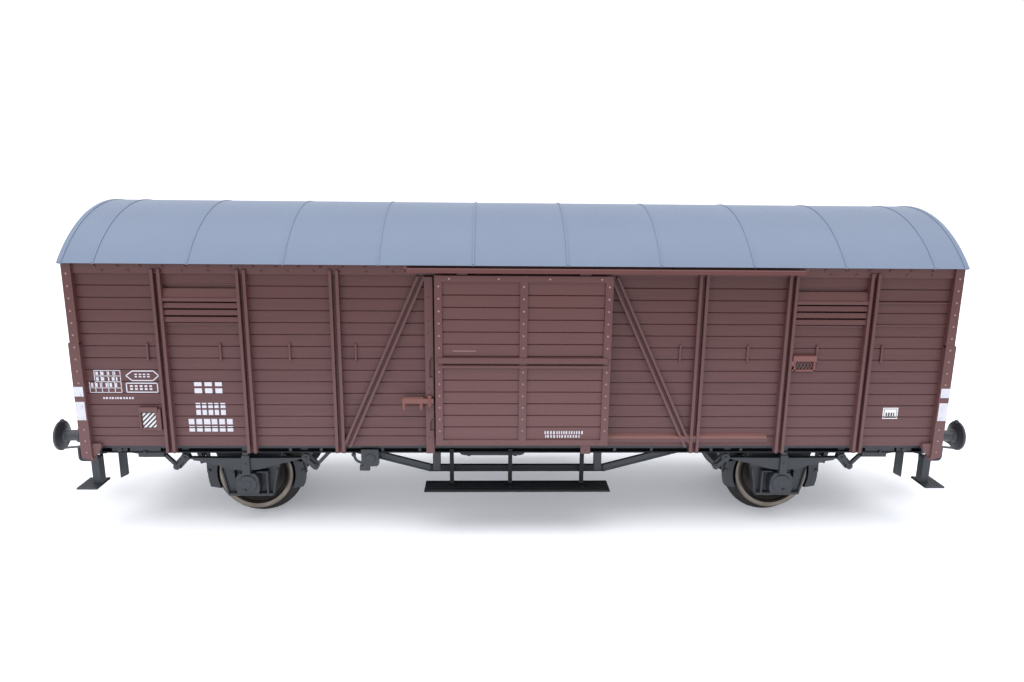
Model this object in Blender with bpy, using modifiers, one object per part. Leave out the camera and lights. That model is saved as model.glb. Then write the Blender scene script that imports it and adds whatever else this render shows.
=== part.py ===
"""H0 scale (1:87) model of a two-axle covered goods wagon, built as separate parts.

Every length below is in millimetres. The shape helpers work in millimetres and place() turns each
finished part into metres. X runs along the wagon, the near side is at -Y, Z is up, and the wheel
flanges stand on Z = 0. The far side is the near side turned half a turn about Z, as on the real wagon.
"""

import math

import bmesh
import bpy
from mathutils import Matrix, Vector

MM = 0.001
WAGON = "box_car"

# Body shell
WALL_X = 61.6  # outer face of the end planks
WALL_Y = 16.1  # outer face of the side planks
WALL = 0.9
SILL_Z = 13.85
END_SILL_Z = 14.7
POST_TOP_Z = 39.55
POST_FOOT_Z = 13.0
POST_Y = 16.9
POST_HALF = 0.68
POST_GROOVE_HALF = 0.27
POST_GROOVE_DEPTH = 0.5
POST_XS = (-49.9, -38.35, -25.7, 25.7, 38.35, 49.9)
CORNER_X = 62.4
CORNER_WIDTH = 1.3
CORNER_FOOT_Z = 11.8
END_POST_Y = 5.5
EAVE_Z = (38.6, 40.0)
EAVE_Y = 16.45
BRACES = ((-24.75, -13.7), (24.85, 13.1))  # foot and head of each diagonal along X
BRACE_Z = (13.9, 38.7)
BRACE_HALF = 0.64
BRACE_Y = 16.78
TIE_BAR_XS = (-52.3, -42.3, -32.7, -23.4, 22.75, 32.4, 42.5, 52.1)
TIE_BAR_HALF = 0.17
TIE_BAR_Z = (26.6, 29.14)
BATTEN_Z = (32.1, 35.4)
BATTEN_HALF = 0.25
BATTEN_X = (50.35, 61.5)
LOCK_POST_X = (-13.3, -12.1)
LOCK_POST_Y = 17.0
LOCK_POST_TOP_Z = 38.8
GUSSET_REACH = 1.4
ROOT = 0.2  # how far the ironwork reaches into the wall behind it

# Door and its rails
DOOR_X = (-11.85, 12.85)
DOOR_Z = (14.5, 39.12)
DOOR_BACK_Y = 17.2
DOOR_PANEL_Y = 17.6
DOOR_FRAME_Y = 17.9
OPENING_X = (-11.4, 12.4)
OPENING_Z = (15.9, 38.0)
STILES_X = (DOOR_X[0], -10.78), (-0.05, 1.06), (11.75, DOOR_X[1])
DOOR_BARS_Z = (DOOR_Z[0], 15.3), (26.0, 26.45), (26.85, 27.6), (38.15, DOOR_Z[1])
HANGER_XS = (-8.0, 9.0)
HANGER_TOP_Z = 39.5
GUIDE_X = (9.0, 10.4)
GUIDE_LOW_Z = 13.15
TOP_RAIL_X = (-15.95, 39.65)
TOP_RAIL_Y = 18.3
TOP_RAIL_Z = (39.45, 40.3)
TOP_RAIL_SHELF_Z = (39.58, 39.84)
LOWER_RAIL_X = (12.6, 36.5)
LOWER_RAIL_Y = 17.15
LOWER_RAIL_Z = (14.65, 15.85)
LATCH_X = (-16.6, -12.05)
LATCH_Y = (17.25, 17.65)
LATCH_Z = (20.6, 21.6)

# Louvres, card frame and paper holder
VENT_X = 44.12
VENT_HALF = 4.97
VENT_Z = (32.1, 37.4)
VENT_CAP_Z = (35.15, 36.85)
SLAT_ZS = (32.18, 33.15, 34.12)
CARD_X = (-54.1, -51.2)
CARD_Z = (15.95, 19.85)
HOLDER_X = (39.1, 42.3)
HOLDER_Z = (25.3, 27.7)

# Roof: an arched shell
ROOF_X = 62.65
ROOF_R = 23.6
ROOF_T = 0.7
ROOF_CENTRE_Z = 24.5
ROOF_EAVE_Y = 17.45
RIB_XS = (-62.2, -57.8, -45.3, -32.4, -19.5, -6.5, 6.5, 19.5, 32.4, 45.3, 57.8, 62.2)
RIB_HALF = 0.25
RIB_H = 0.13
ARCH_STEPS = 20

# Underframe
DECK_Z = (13.1, 14.1)
SOLE_BAR_Y = (13.2, 14.6)
SOLE_BAR_Z = 12.2
HEADSTOCK_X = (60.9, 62.05)
HEADSTOCK_Z = (11.6, 14.6)
HEADSTOCK_HALF_Y = 14.7
DECK_HALF_X = 60.6
DECK_HALF_Y = 15.05
FLOOR_TOP_Z = 15.8
FLOOR_GAP = 0.05

# Wheelsets
AXLE_X = 40.23
FLANGE_R = 6.95
TREAD_R = 5.75
AXLE_Z = FLANGE_R
BACK_Y = 7.2
WHEEL_W = 2.8
HUB_R = 1.25
BUSH_R = 1.22
AXLE_R = 0.75
BUSH_BORE_R = 0.78
AXLE_SHOULDER_Y = 10.9
AXLE_TIP_Y = 12.3
BEARING_PLAY = 0.06
WHEEL_SIDES = 28
AXLE_SIDES = 16
GUARD_Y = (11.3, 12.6)

# Buffers and couplers
BUFFER_Y = 10.06
BUFFER_Z = 13.3
BUFFER_X = 69.54
BUFFER_R = 2.3
BUFFER_SIDES = 20
COUPLER_Z = 9.1
COUPLER_PIVOT_X = 56.5
LOOP_HINGE_X = 67.8
LOOP_TIP_X = 73.5

# Steps and truss
STEP_BOARD_X = (-13.7, 13.55)
STEP_BOARD_Z = (7.15, 7.5)
STEP_BOARD_Y = (13.7, 17.4)
STEP_HANGER_XS = (-9.75, -1.1, 9.55)
STEP_HANGER_HALF = 0.3
TREAD_X = (61.3, 64.3)
TREAD_Y = (12.2, 16.2)
TREAD_Z = (7.1, 7.5)
TRUSS_Y = (13.45, 14.15)
TRUSS_POST_X = 12.0
TRUSS_POST_HALF = 0.6
TRUSS_BEAM_X = 12.9
TRUSS_BEAM_Z = (9.05, 10.1)
TRUSS_SLOPE = 0.27

BROWN = ("body_brown", (0.16, 0.085, 0.082), 0.55, 0.0)
RAIL_BROWN = ("rail_brown", (0.17, 0.075, 0.07), 0.5, 0.0)
ROOF_GREY = ("roof_grey", (0.18, 0.22, 0.29), 0.42, 0.0)
BLACK = ("frame_black", (0.025, 0.028, 0.032), 0.6, 0.0)
FLOOR_GREY = ("floor_grey", (0.2, 0.17, 0.14), 0.7, 0.0)
STEEL = ("ballast_steel", (0.45, 0.45, 0.46), 0.4, 0.9)
WHEEL_METAL = ("wheel_metal", (0.2, 0.16, 0.13), 0.4, 0.85)
AXLE_STEEL = ("axle_steel", (0.5, 0.5, 0.52), 0.3, 0.95)
BUSH_PLASTIC = ("bush_plastic", (0.03, 0.03, 0.03), 0.5, 0.0)
WIRE_METAL = ("coupler_wire", (0.05, 0.05, 0.055), 0.35, 0.8)


def clear_scene():
    for obj in list(bpy.data.objects):
        bpy.data.objects.remove(obj)


def new_collection(name):
    collection = bpy.data.collections.new(name)
    bpy.context.scene.collection.children.link(collection)
    return collection


def material(name, colour, roughness, metallic):
    found = bpy.data.materials.get(name)
    if found:
        return found
    made = bpy.data.materials.new(name)
    made.use_nodes = True
    shader = made.node_tree.nodes["Principled BSDF"]
    shader.inputs["Base Color"].default_value = (*colour, 1.0)
    shader.inputs["Roughness"].default_value = roughness
    shader.inputs["Metallic"].default_value = metallic
    return made


def tool_object(bm):
    """A scratch solid in millimetres, made of a bmesh, which is freed."""
    bmesh.ops.recalc_face_normals(bm, faces=bm.faces)
    if bm.calc_volume(signed=True) < 0:
        bmesh.ops.reverse_faces(bm, faces=bm.faces)
    mesh = bpy.data.meshes.new("tool")
    bm.to_mesh(mesh)
    bm.free()
    obj = bpy.data.objects.new("tool", mesh)
    obj.hide_render = True
    obj.display_type = "WIRE"
    tools.objects.link(obj)
    return obj


def block(x, y, z):
    """A box between two limits along each axis."""
    size = Vector((x[1] - x[0], y[1] - y[0], z[1] - z[0]))
    middle = Vector((x[0] + x[1], y[0] + y[1], z[0] + z[1])) / 2
    bm = bmesh.new()
    bmesh.ops.create_cube(bm, size=1.0, matrix=Matrix.Translation(middle) @ Matrix.Diagonal((*size, 1.0)))
    return tool_object(bm)


def near(low, high):
    """Limits along Y of something on the near side, from its distances to the middle."""
    return (-high, -low)


def cylinder(start, end, radius, end_radius=None, sides=24):
    """A cylinder or a cone between two points."""
    start, end = Vector(start), Vector(end)
    turn = Vector((0, 0, 1)).rotation_difference(end - start).to_matrix().to_4x4()
    bm = bmesh.new()
    bmesh.ops.create_cone(
        bm,
        cap_ends=True,
        segments=sides,
        radius1=radius,
        radius2=radius if end_radius is None else end_radius,
        depth=(end - start).length,
        matrix=Matrix.Translation((start + end) / 2) @ turn,
    )
    return tool_object(bm)


def outline(points, depth, axis):
    """A flat closed outline given depth. Its points are (x, z) for axis Y and (y, z) for axis X."""
    curve = bpy.data.curves.new("outline", "CURVE")
    curve.dimensions = "2D"
    curve.fill_mode = "BOTH"
    curve.extrude = abs(depth[1] - depth[0]) / 2
    spline = curve.splines.new("POLY")
    spline.points.add(len(points) - 1)
    for point, (u, v) in zip(spline.points, points):
        point.co = (u, v, 0, 1)
    spline.use_cyclic_u = True
    flat = bpy.data.objects.new("outline", curve)
    tools.objects.link(flat)
    graph = bpy.context.evaluated_depsgraph_get()
    mesh = bpy.data.meshes.new_from_object(flat.evaluated_get(graph))
    bpy.data.objects.remove(flat)
    middle = (depth[0] + depth[1]) / 2
    if axis == "Y":
        stand = Matrix(((1, 0, 0, 0), (0, 0, -1, middle), (0, 1, 0, 0), (0, 0, 0, 1)))
    else:
        stand = Matrix(((0, 0, 1, middle), (1, 0, 0, 0), (0, 1, 0, 0), (0, 0, 0, 1)))
    bm = bmesh.new()
    bm.from_mesh(mesh)
    bmesh.ops.remove_doubles(bm, verts=bm.verts, dist=0.0001)
    bm.transform(stand)
    bpy.data.meshes.remove(mesh)
    return tool_object(bm)


def turned(profile, matrix, sides=48, closed=False):
    """A turned solid. The profile is (radius, height) points, spun about its own Z, then placed."""
    mesh = bpy.data.meshes.new("profile")
    points = [(radius, 0.0, height) for radius, height in profile]
    edges = [(i, i + 1) for i in range(len(points) - 1)]
    if closed:
        edges.append((len(points) - 1, 0))
    mesh.from_pydata(points, edges, [])
    obj = bpy.data.objects.new("profile", mesh)
    tools.objects.link(obj)
    screw = obj.modifiers.new("spin", "SCREW")
    screw.steps = sides
    screw.render_steps = sides
    screw.use_merge_vertices = True
    screw.merge_threshold = 0.0001
    graph = bpy.context.evaluated_depsgraph_get()
    spun = bpy.data.meshes.new_from_object(obj.evaluated_get(graph))
    bpy.data.objects.remove(obj)
    bm = bmesh.new()
    bm.from_mesh(spun)
    bm.transform(matrix)
    bpy.data.meshes.remove(spun)
    return tool_object(bm)


def rail(points, radius, sides=8):
    """A round bar that follows points."""
    curve = bpy.data.curves.new("bar", "CURVE")
    curve.dimensions = "3D"
    curve.bevel_depth = radius
    curve.bevel_resolution = sides // 4
    curve.use_fill_caps = True
    spline = curve.splines.new("POLY")
    spline.points.add(len(points) - 1)
    for point, co in zip(spline.points, points):
        point.co = (*co, 1)
    bar = bpy.data.objects.new("bar", curve)
    tools.objects.link(bar)
    graph = bpy.context.evaluated_depsgraph_get()
    mesh = bpy.data.meshes.new_from_object(bar.evaluated_get(graph))
    bpy.data.objects.remove(bar)
    bm = bmesh.new()
    bm.from_mesh(mesh)
    bmesh.ops.remove_doubles(bm, verts=bm.verts, dist=0.0001)
    bpy.data.meshes.remove(mesh)
    return tool_object(bm)


def boolean(base, others, operation):
    """Joins or cuts base with each of the others, which are used up."""
    for other in others:
        step = base.modifiers.new(operation, "BOOLEAN")
        step.operation = operation
        step.solver = "EXACT"
        step.object = other
        graph = bpy.context.evaluated_depsgraph_get()
        mesh = bpy.data.meshes.new_from_object(base.evaluated_get(graph))
        base.modifiers.clear()
        base.data = mesh
        bpy.data.objects.remove(other)
    return base


def union(base, *others):
    return boolean(base, others, "UNION")


def cut(base, *others):
    return boolean(base, others, "DIFFERENCE")


def place(name, obj, finish, parent=None):
    """Names a finished solid, turns it into metres and gives it its material."""
    obj.data.transform(Matrix.Scale(MM, 4))
    obj.data.materials.clear()
    obj.data.materials.append(material(*finish))
    obj.data.shade_smooth()
    obj.data.set_sharp_from_angle(angle=math.radians(35))
    obj.name = name
    obj.data.name = name
    obj.hide_render = False
    obj.display_type = "TEXTURED"
    tools.objects.unlink(obj)
    parts.objects.link(obj)
    attach(obj, parent or root)
    return obj


def far_copy(obj, name, parent=None):
    """The same part on the other side: half a turn about Z."""
    twin = bpy.data.objects.new(name, obj.data)
    parts.objects.link(twin)
    twin.rotation_euler.z = math.pi
    attach(twin, parent or root)
    return twin


def attach(obj, parent):
    bpy.context.view_layer.update()
    obj.parent = parent
    obj.matrix_parent_inverse = parent.matrix_world.inverted()


def pivot(name, location, parent=None):
    """An empty on a joint's axis."""
    empty = bpy.data.objects.new(name, None)
    empty.location = Vector(location) * MM
    parts.objects.link(empty)
    bpy.context.view_layer.update()
    if parent:
        attach(empty, parent)
    return empty


def arch(radius, half_width, steps):
    """Points of an arch about the roof's centre line, from +Y to -Y."""
    reach = math.asin(half_width / radius)
    angles = [reach - 2 * reach * i / steps for i in range(steps + 1)]
    return [(radius * math.sin(a), ROOF_CENTRE_Z + radius * math.cos(a)) for a in angles]


def both_sides(x, y, z):
    """The near block and its half-turned twin."""
    return block(x, near(*y), z), block((-x[1], -x[0]), y, z)


def channel_post(x):
    """A U-channel that opens outwards, on the near side."""
    post = block((x - POST_HALF, x + POST_HALF), near(WALL_Y - ROOT, POST_Y), (POST_FOOT_Z, POST_TOP_Z))
    groove = block(
        (x - POST_GROOVE_HALF, x + POST_GROOVE_HALF),
        near(POST_Y - POST_GROOVE_DEPTH, POST_Y + 1),
        (POST_FOOT_Z - 1, POST_TOP_Z - 0.5),
    )
    return cut(post, groove)


def brace(foot_x, head_x):
    """A diagonal U-channel on the near side."""
    low, high = BRACE_Z
    bar = outline(
        [
            (foot_x - BRACE_HALF, low),
            (foot_x + BRACE_HALF, low),
            (head_x + BRACE_HALF, high),
            (head_x - BRACE_HALF, high),
        ],
        near(WALL_Y - ROOT, BRACE_Y),
        "Y",
    )
    groove_half = BRACE_HALF * 0.42
    run = (head_x - foot_x) * 0.02
    groove = outline(
        [
            (foot_x + run - groove_half, low + 0.5),
            (foot_x + run + groove_half, low + 0.5),
            (head_x - run + groove_half, high - 0.5),
            (head_x - run - groove_half, high - 0.5),
        ],
        near(BRACE_Y - 0.42, BRACE_Y + 1),
        "Y",
    )
    return cut(bar, groove)


def turned_half(obj):
    """A scratch copy of a near-side solid, half-turned to the far side."""
    twin = obj.copy()
    twin.data = obj.data.copy()
    twin.data.transform(Matrix.Rotation(math.pi, 4, "Z"))
    tools.objects.link(twin)
    return twin


def make_body_shell():
    """One moulding: two planked sides and two arched ends, open at top and bottom."""
    roof_fit_r = ROOF_R - ROOF_T - 0.05
    walls = outline(
        [(-WALL_Y, SILL_Z), (WALL_Y, SILL_Z)] + arch(roof_fit_r, WALL_Y, 16), (-WALL_X, WALL_X), "X"
    )
    hollow = block((-WALL_X + WALL, WALL_X - WALL), (-WALL_Y + WALL, WALL_Y - WALL), (0, 60))
    end_foot = block((-70, 70), (-WALL_Y + WALL, WALL_Y - WALL), (0, END_SILL_Z))
    cut(walls, hollow, end_foot)

    near_side = [channel_post(x) for x in POST_XS]
    near_side += [brace(*ends) for ends in BRACES]
    near_side.append(block((-CORNER_X + 0.5, CORNER_X - 0.5), near(WALL_Y - ROOT, EAVE_Y), EAVE_Z))
    near_side.append(block(LOCK_POST_X, near(WALL_Y - ROOT, LOCK_POST_Y), (POST_FOOT_Z, LOCK_POST_TOP_Z)))
    for x in TIE_BAR_XS:
        tie_x = (x - TIE_BAR_HALF, x + TIE_BAR_HALF)
        near_side.append(block(tie_x, near(WALL_Y - ROOT, WALL_Y + 0.3), TIE_BAR_Z))
    for z in BATTEN_Z:
        batten_z = (z - BATTEN_HALF, z + BATTEN_HALF)
        near_side.append(block(BATTEN_X, near(WALL_Y - ROOT, WALL_Y + 0.25), batten_z))
    for side in (-1, 1):
        outer, inner = side * CORNER_X, side * (CORNER_X - CORNER_WIDTH)
        tip = inner + side * 0.35
        near_side.append(
            outline(
                [(inner, 12.5), (tip, CORNER_FOOT_Z), (outer, CORNER_FOOT_Z), (outer, 39.6), (inner, 39.6)],
                near(WALL_Y - 0.5, POST_Y),
                "Y",
            )
        )
        reach = inner - side * GUSSET_REACH
        gusset = [(inner + side * 0.3, 12.7), (inner + side * 0.3, 14.3), (reach, 14.3), (reach, 13.9)]
        near_side.append(outline(gusset, near(WALL_Y - 0.35, WALL_Y + 0.2), "Y"))
    for piece in near_side:
        union(walls, turned_half(piece), piece)

    for side in (-1, 1):
        end_x = sorted((side * (WALL_X - 0.3), side * CORNER_X))
        for y in (-END_POST_Y, END_POST_Y):
            union(walls, block(end_x, (y - POST_HALF, y + POST_HALF), (END_SILL_Z, 45.6)))
        beam_x = sorted((side * (WALL_X - 0.3), side * (WALL_X + 0.35)))
        beam = arch(roof_fit_r - 0.05, WALL_Y - 0.2, 16) + arch(roof_fit_r - 1.4, WALL_Y - 0.2, 16)[::-1]
        union(walls, outline(beam, beam_x, "X"))
    cut(walls, *both_sides(OPENING_X, (10.0, 16.3), OPENING_Z))
    return place("body_shell", walls, BROWN)


def make_roof():
    """Arched sheet with thin raised seams."""
    inner_y = ROOF_EAVE_Y * (ROOF_R - ROOF_T) / ROOF_R
    sheet = arch(ROOF_R, ROOF_EAVE_Y, ARCH_STEPS) + arch(ROOF_R - ROOF_T, inner_y, ARCH_STEPS)[::-1]
    roof = outline(sheet, (-ROOF_X, ROOF_X), "X")
    rib_r = ROOF_R + RIB_H
    root_r = ROOF_R - 0.2
    rib_y = ROOF_EAVE_Y - 0.15
    for x in RIB_XS:
        section = arch(rib_r, rib_y, ARCH_STEPS) + arch(root_r, rib_y - 0.1, ARCH_STEPS)[::-1]
        union(roof, outline(section, (x - RIB_HALF, x + RIB_HALF), "X"))
    return place("roof", roof, ROOF_GREY)


def grab_handle(side):
    """Outline of a shunter's handle: a thin hoop that stands out from the headstock."""
    outer = [(61.8, 12.85), (64.95, 12.85), (65.3, 12.5), (65.3, 10.5), (65.0, 10.2), (61.7, 10.2), (61.7, 11.8)]
    inner = [(62.1, 11.8), (62.1, 10.6), (64.8, 10.6), (64.9, 10.7), (64.9, 12.3), (64.75, 12.45), (61.8, 12.45)]
    return [(side * x, z) for x, z in outer + inner]


def make_underframe():
    """Deck, channel sole bars, headstocks, cross members and coupler bosses in one moulding."""
    deck = block((-DECK_HALF_X, DECK_HALF_X), (-DECK_HALF_Y, DECK_HALF_Y), DECK_Z)
    sole_x = (-HEADSTOCK_X[0] - 0.2, HEADSTOCK_X[0] + 0.2)
    union(deck, *both_sides(sole_x, SOLE_BAR_Y, (SOLE_BAR_Z, DECK_Z[0] + 0.4)))
    for side in (-1, 1):
        head_x = sorted((side * HEADSTOCK_X[0], side * HEADSTOCK_X[1]))
        union(deck, block(head_x, (-HEADSTOCK_HALF_Y, HEADSTOCK_HALF_Y), HEADSTOCK_Z))
        for x in (side * 13.0, side * 27.0, side * 53.0):
            member_y = (-SOLE_BAR_Y[0] - 0.3, SOLE_BAR_Y[0] + 0.3)
            union(deck, block((x - 0.6, x + 0.6), member_y, (SOLE_BAR_Z + 0.15, DECK_Z[0] + 0.2)))
        boss_x = side * COUPLER_PIVOT_X
        union(deck, cylinder((boss_x, 0, 10.9), (boss_x, 0, DECK_Z[0] + 0.3), 1.9))
        hook_x = side * 59.35
        union(deck, *both_sides((hook_x - 0.55, hook_x + 0.55), (11.4, 12.0), (7.1, DECK_Z[0] + 0.25)))
        bracket_x = side * 53.8
        union(deck, *both_sides((bracket_x - 1.8, bracket_x + 1.8), (13.3, 14.5), (11.5, SOLE_BAR_Z + 0.3)))
    channel = both_sides((-59.0, 59.0), (SOLE_BAR_Y[1] - 0.6, SOLE_BAR_Y[1] + 1), (12.5, 13.35))
    cut(deck, *channel)
    for side in (-1, 1):
        boss_x = side * COUPLER_PIVOT_X
        cut(deck, cylinder((boss_x, 0, 10.0), (boss_x, 0, DECK_Z[0] - 0.1), 0.88))
        wheel_x = (side * AXLE_X - 4.6, side * AXLE_X + 4.6)
        cut(deck, *both_sides(wheel_x, (BACK_Y - 0.6, BACK_Y + WHEEL_W + 0.6), (11.0, 15.0)))
        for y in (-12.9, 12.9):
            handle = outline(grab_handle(side), (y - 0.2, y + 0.2), "Y")
            union(deck, handle)
    return place("underframe", deck, BLACK)


def make_floor_and_ballast():
    """A planked floor tray with a steel weight under it."""
    base_z = DECK_Z[1] + FLOOR_GAP
    tray = block((-60.4, 60.4), (-14.95, 14.95), (base_z, FLOOR_TOP_Z))
    cut(tray, block((-56, 56), (-13, 13), (base_z - 1, FLOOR_TOP_Z - 0.55)))
    place("floor_insert", tray, FLOOR_GREY)
    place("ballast_weight", block((-55, 55), (-12.5, 12.5), (base_z, FLOOR_TOP_Z - 0.6)), STEEL)


def make_doors():
    """Framed plank door with two hangers and a lower guide, and the rails that carry it."""
    panel = block(DOOR_X, near(DOOR_BACK_Y, DOOR_PANEL_Y), DOOR_Z)
    for stile in STILES_X:
        union(panel, block(stile, near(DOOR_PANEL_Y - 0.1, DOOR_FRAME_Y), DOOR_Z))
    for bar in DOOR_BARS_Z:
        union(panel, block(DOOR_X, near(DOOR_PANEL_Y - 0.1, DOOR_FRAME_Y - 0.05), bar))
    hanger_z = (DOOR_Z[1] - 0.3, HANGER_TOP_Z)
    for x in HANGER_XS:
        union(panel, block((x - 0.8, x + 0.8), near(DOOR_BACK_Y + 0.15, DOOR_PANEL_Y), hanger_z))
    union(panel, block(GUIDE_X, near(DOOR_BACK_Y + 0.1, DOOR_PANEL_Y - 0.05), (GUIDE_LOW_Z, DOOR_Z[0] + 0.3)))
    middle_x = (DOOR_X[0] + DOOR_X[1]) / 2
    middle_z = (DOOR_Z[0] + DOOR_Z[1]) / 2
    slide = pivot("door_near_slide", (middle_x, -DOOR_PANEL_Y, middle_z), root)
    door = place("door_near", panel, BROWN, slide)
    far_copy(door, "door_far", pivot("door_far_slide", (-middle_x, DOOR_PANEL_Y, middle_z), root))

    top = block(TOP_RAIL_X, near(EAVE_Y + 0.03, TOP_RAIL_Y - 0.1), TOP_RAIL_SHELF_Z)
    union(top, block(TOP_RAIL_X, near(TOP_RAIL_Y - 0.3, TOP_RAIL_Y), TOP_RAIL_Z))
    top = place("door_top_rail_near", top, RAIL_BROWN)
    far_copy(top, "door_top_rail_far")

    low = block(LOWER_RAIL_X, near(POST_Y + 0.03, LOWER_RAIL_Y), LOWER_RAIL_Z)
    low = place("door_lower_rail_near", low, RAIL_BROWN)
    far_copy(low, "door_lower_rail_far")

    latch = block(LATCH_X, near(*LATCH_Y), LATCH_Z)
    union(latch, block((-13.0, -12.4), near(LOCK_POST_Y + 0.03, LATCH_Y[1] - 0.2), (20.2, 21.85)))
    for x in (LATCH_X[0] + 0.25, -13.9):
        union(latch, block((x - 0.22, x + 0.22), near(LATCH_Y[0], LATCH_Y[1] - 0.05), (19.7, 20.8)))
    latch = place("door_latch_near", latch, RAIL_BROWN)
    far_copy(latch, "door_latch_far")


def make_vent(middle_x, name, far_name):
    """A covered louvre: back plate, cap and three slats between two posts."""
    x = (middle_x - VENT_HALF, middle_x + VENT_HALF)
    vent = block(x, near(WALL_Y + 0.03, WALL_Y + 0.25), VENT_Z)
    back, front = -WALL_Y - 0.05, -WALL_Y - 0.75
    low, top = VENT_CAP_Z
    cap = [(back, low), (front, low), (front, top - 0.45), (front + 0.35, top), (back, top)]
    union(vent, outline(cap, (x[0] + 0.05, x[1] - 0.05), "X"))
    for z in SLAT_ZS:
        slat = [(back, z), (front + 0.15, z), (front + 0.4, z + 0.7), (back, z + 0.7)]
        union(vent, outline(slat, (x[0] + 0.2, x[1] - 0.2), "X"))
    vent = place(name, vent, BROWN)
    far_copy(vent, far_name)


def make_label_boxes():
    """A card frame low on the left bay and a lidded paper holder on the right bay."""
    card = block(CARD_X, near(WALL_Y + 0.03, WALL_Y + 0.45), CARD_Z)
    window_x = (CARD_X[0] + 0.4, CARD_X[1] - 0.4)
    window_z = (CARD_Z[0] + 0.4, CARD_Z[1] - 1.5)
    cut(card, block(window_x, near(WALL_Y + 0.25, WALL_Y + 1), window_z))
    far_copy(place("card_frame_near", card, BROWN), "card_frame_far")
    low, top = HOLDER_Z
    holder = block((HOLDER_X[0] + 0.15, HOLDER_X[1] - 0.1), near(WALL_Y + 0.03, WALL_Y + 0.6), (low, top - 0.4))
    union(holder, block(HOLDER_X, near(WALL_Y + 0.03, WALL_Y + 0.75), (top - 0.5, top)))
    far_copy(place("paper_holder_near", holder, RAIL_BROWN), "paper_holder_far")


def spring_outline(x0):
    """Leaf spring seen from the side: flat top leaf, stepped underside, lowest at the buckle."""
    underside = ((8.8, 10.7), (7.0, 10.4), (5.4, 10.0), (3.8, 9.6), (2.2, 9.25))
    right = [(x0 + dx, z) for dx, z in underside]
    left = [(x0 - dx, z) for dx, z in reversed(underside)]
    top = [(x0 + dx, z) for dx, z in ((-8.8, 11.15), (-4.0, 11.3), (4.0, 11.3), (8.8, 11.15))]
    return top + right + left


def make_axle_guard(side, name, far_name):
    """Axle guard, axle box, leaf spring and its hangers as one moulding, with a pinpoint bearing."""
    x0 = side * AXLE_X
    plate = outline(
        [
            (x0 - 5.4, DECK_Z[0] - 0.05), (x0 - 4.3, 8.8), (x0 - 3.3, 4.6), (x0 - 2.9, 4.2),
            (x0 + 2.9, 4.2), (x0 + 3.3, 4.6), (x0 + 4.3, 8.8), (x0 + 5.4, DECK_Z[0] - 0.05),
        ],
        near(*GUARD_Y),
        "Y",
    )
    for dx in (-1, 1):
        window = [(x0 + dx * 1.75, 5.2), (x0 + dx * 2.6, 5.2), (x0 + dx * 3.4, 8.9), (x0 + dx * 1.75, 8.9)]
        cut(plate, outline(window, near(10, 14), "Y"))
    union(
        plate,
        block((x0 - 1.5, x0 + 1.5), near(12.4, 14.3), (5.35, 8.35)),
        cylinder((x0, -14.2, AXLE_Z), (x0, -14.6, AXLE_Z), 1.25),
        outline(spring_outline(x0), near(13.3, 14.3), "Y"),
        block((x0 - 0.75, x0 + 0.75), near(12.4, 14.55), (8.2, 11.5)),
    )
    for dx in (-1, 1):
        foot = x0 + dx * 10.6
        hanger = [(foot - dx * 1.8, SOLE_BAR_Z - 0.05), (foot - dx * 0.5, 9.2), (foot, 9.2)]
        hanger.append((foot + dx * 2.3, SOLE_BAR_Z - 0.05))
        if side * dx > 0:
            hanger = [(u, min(v, 11.45)) for u, v in hanger]
        link_x = sorted((x0 + dx * 8.2, foot))
        union(plate, outline(hanger, near(13.5, 14.2), "Y"), block(link_x, near(13.55, 14.15), (9.75, 10.75)))
    bearing = cylinder(
        (x0, -(GUARD_Y[0] - 0.2), AXLE_Z),
        (x0, -(AXLE_TIP_Y + 0.15), AXLE_Z),
        axle_cone_radius(GUARD_Y[0] - 0.2) + BEARING_PLAY,
        BEARING_PLAY,
        sides=AXLE_SIDES,
    )
    cut(plate, bearing)
    guard = place(name, plate, BLACK)
    far_copy(guard, far_name)


def axle_cone_radius(y):
    """Radius of the axle's pointed end at a distance from the middle."""
    return AXLE_R * (AXLE_TIP_Y - y) / (AXLE_TIP_Y - AXLE_SHOULDER_Y)


def make_wheelset(side, name):
    """Axle with pointed ends, and two flanged wheels on insulating bushes."""
    x0 = side * AXLE_X
    spin = pivot(f"wheelset_{name}_axis", (x0, 0, AXLE_Z), root)
    along_y = Matrix.Translation((x0, 0, AXLE_Z)) @ Matrix.Rotation(math.radians(90), 4, "X")
    tip = AXLE_TIP_Y
    half = [(0, tip), (0.08, tip), (AXLE_R, AXLE_SHOULDER_Y)]
    spindle = half + [(radius, -height) for radius, height in reversed(half)]
    place(f"axle_{name}", turned(spindle, along_y, AXLE_SIDES), AXLE_STEEL, spin)
    front = BACK_Y + WHEEL_W
    rim = [
        (HUB_R, BACK_Y + 0.1), (2.1, BACK_Y + 0.1), (2.1, BACK_Y + 0.9), (4.8, BACK_Y + 0.9), (4.8, BACK_Y),
        (6.7, BACK_Y), (FLANGE_R, BACK_Y + 0.4), (6.5, BACK_Y + 0.8), (TREAD_R + 0.05, BACK_Y + 1.15),
        (TREAD_R - 0.15, front), (4.8, front), (4.8, front - 0.9), (2.1, front - 0.9), (2.1, front - 0.2),
        (HUB_R, front - 0.2),
    ]
    bush = [
        (BUSH_BORE_R, BACK_Y - 0.1), (BUSH_R, BACK_Y - 0.1), (BUSH_R, front - 0.1), (BUSH_BORE_R, front - 0.1),
    ]
    for face, mirror in (("near", 1), ("far", -1)):
        stand = along_y @ Matrix.Scale(mirror, 4, (0, 0, 1))
        place(f"wheel_{name}_{face}", turned(rim, stand, WHEEL_SIDES, closed=True), WHEEL_METAL, spin)
        place(f"bush_{name}_{face}", turned(bush, stand, AXLE_SIDES, closed=True), BUSH_PLASTIC, spin)


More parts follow.
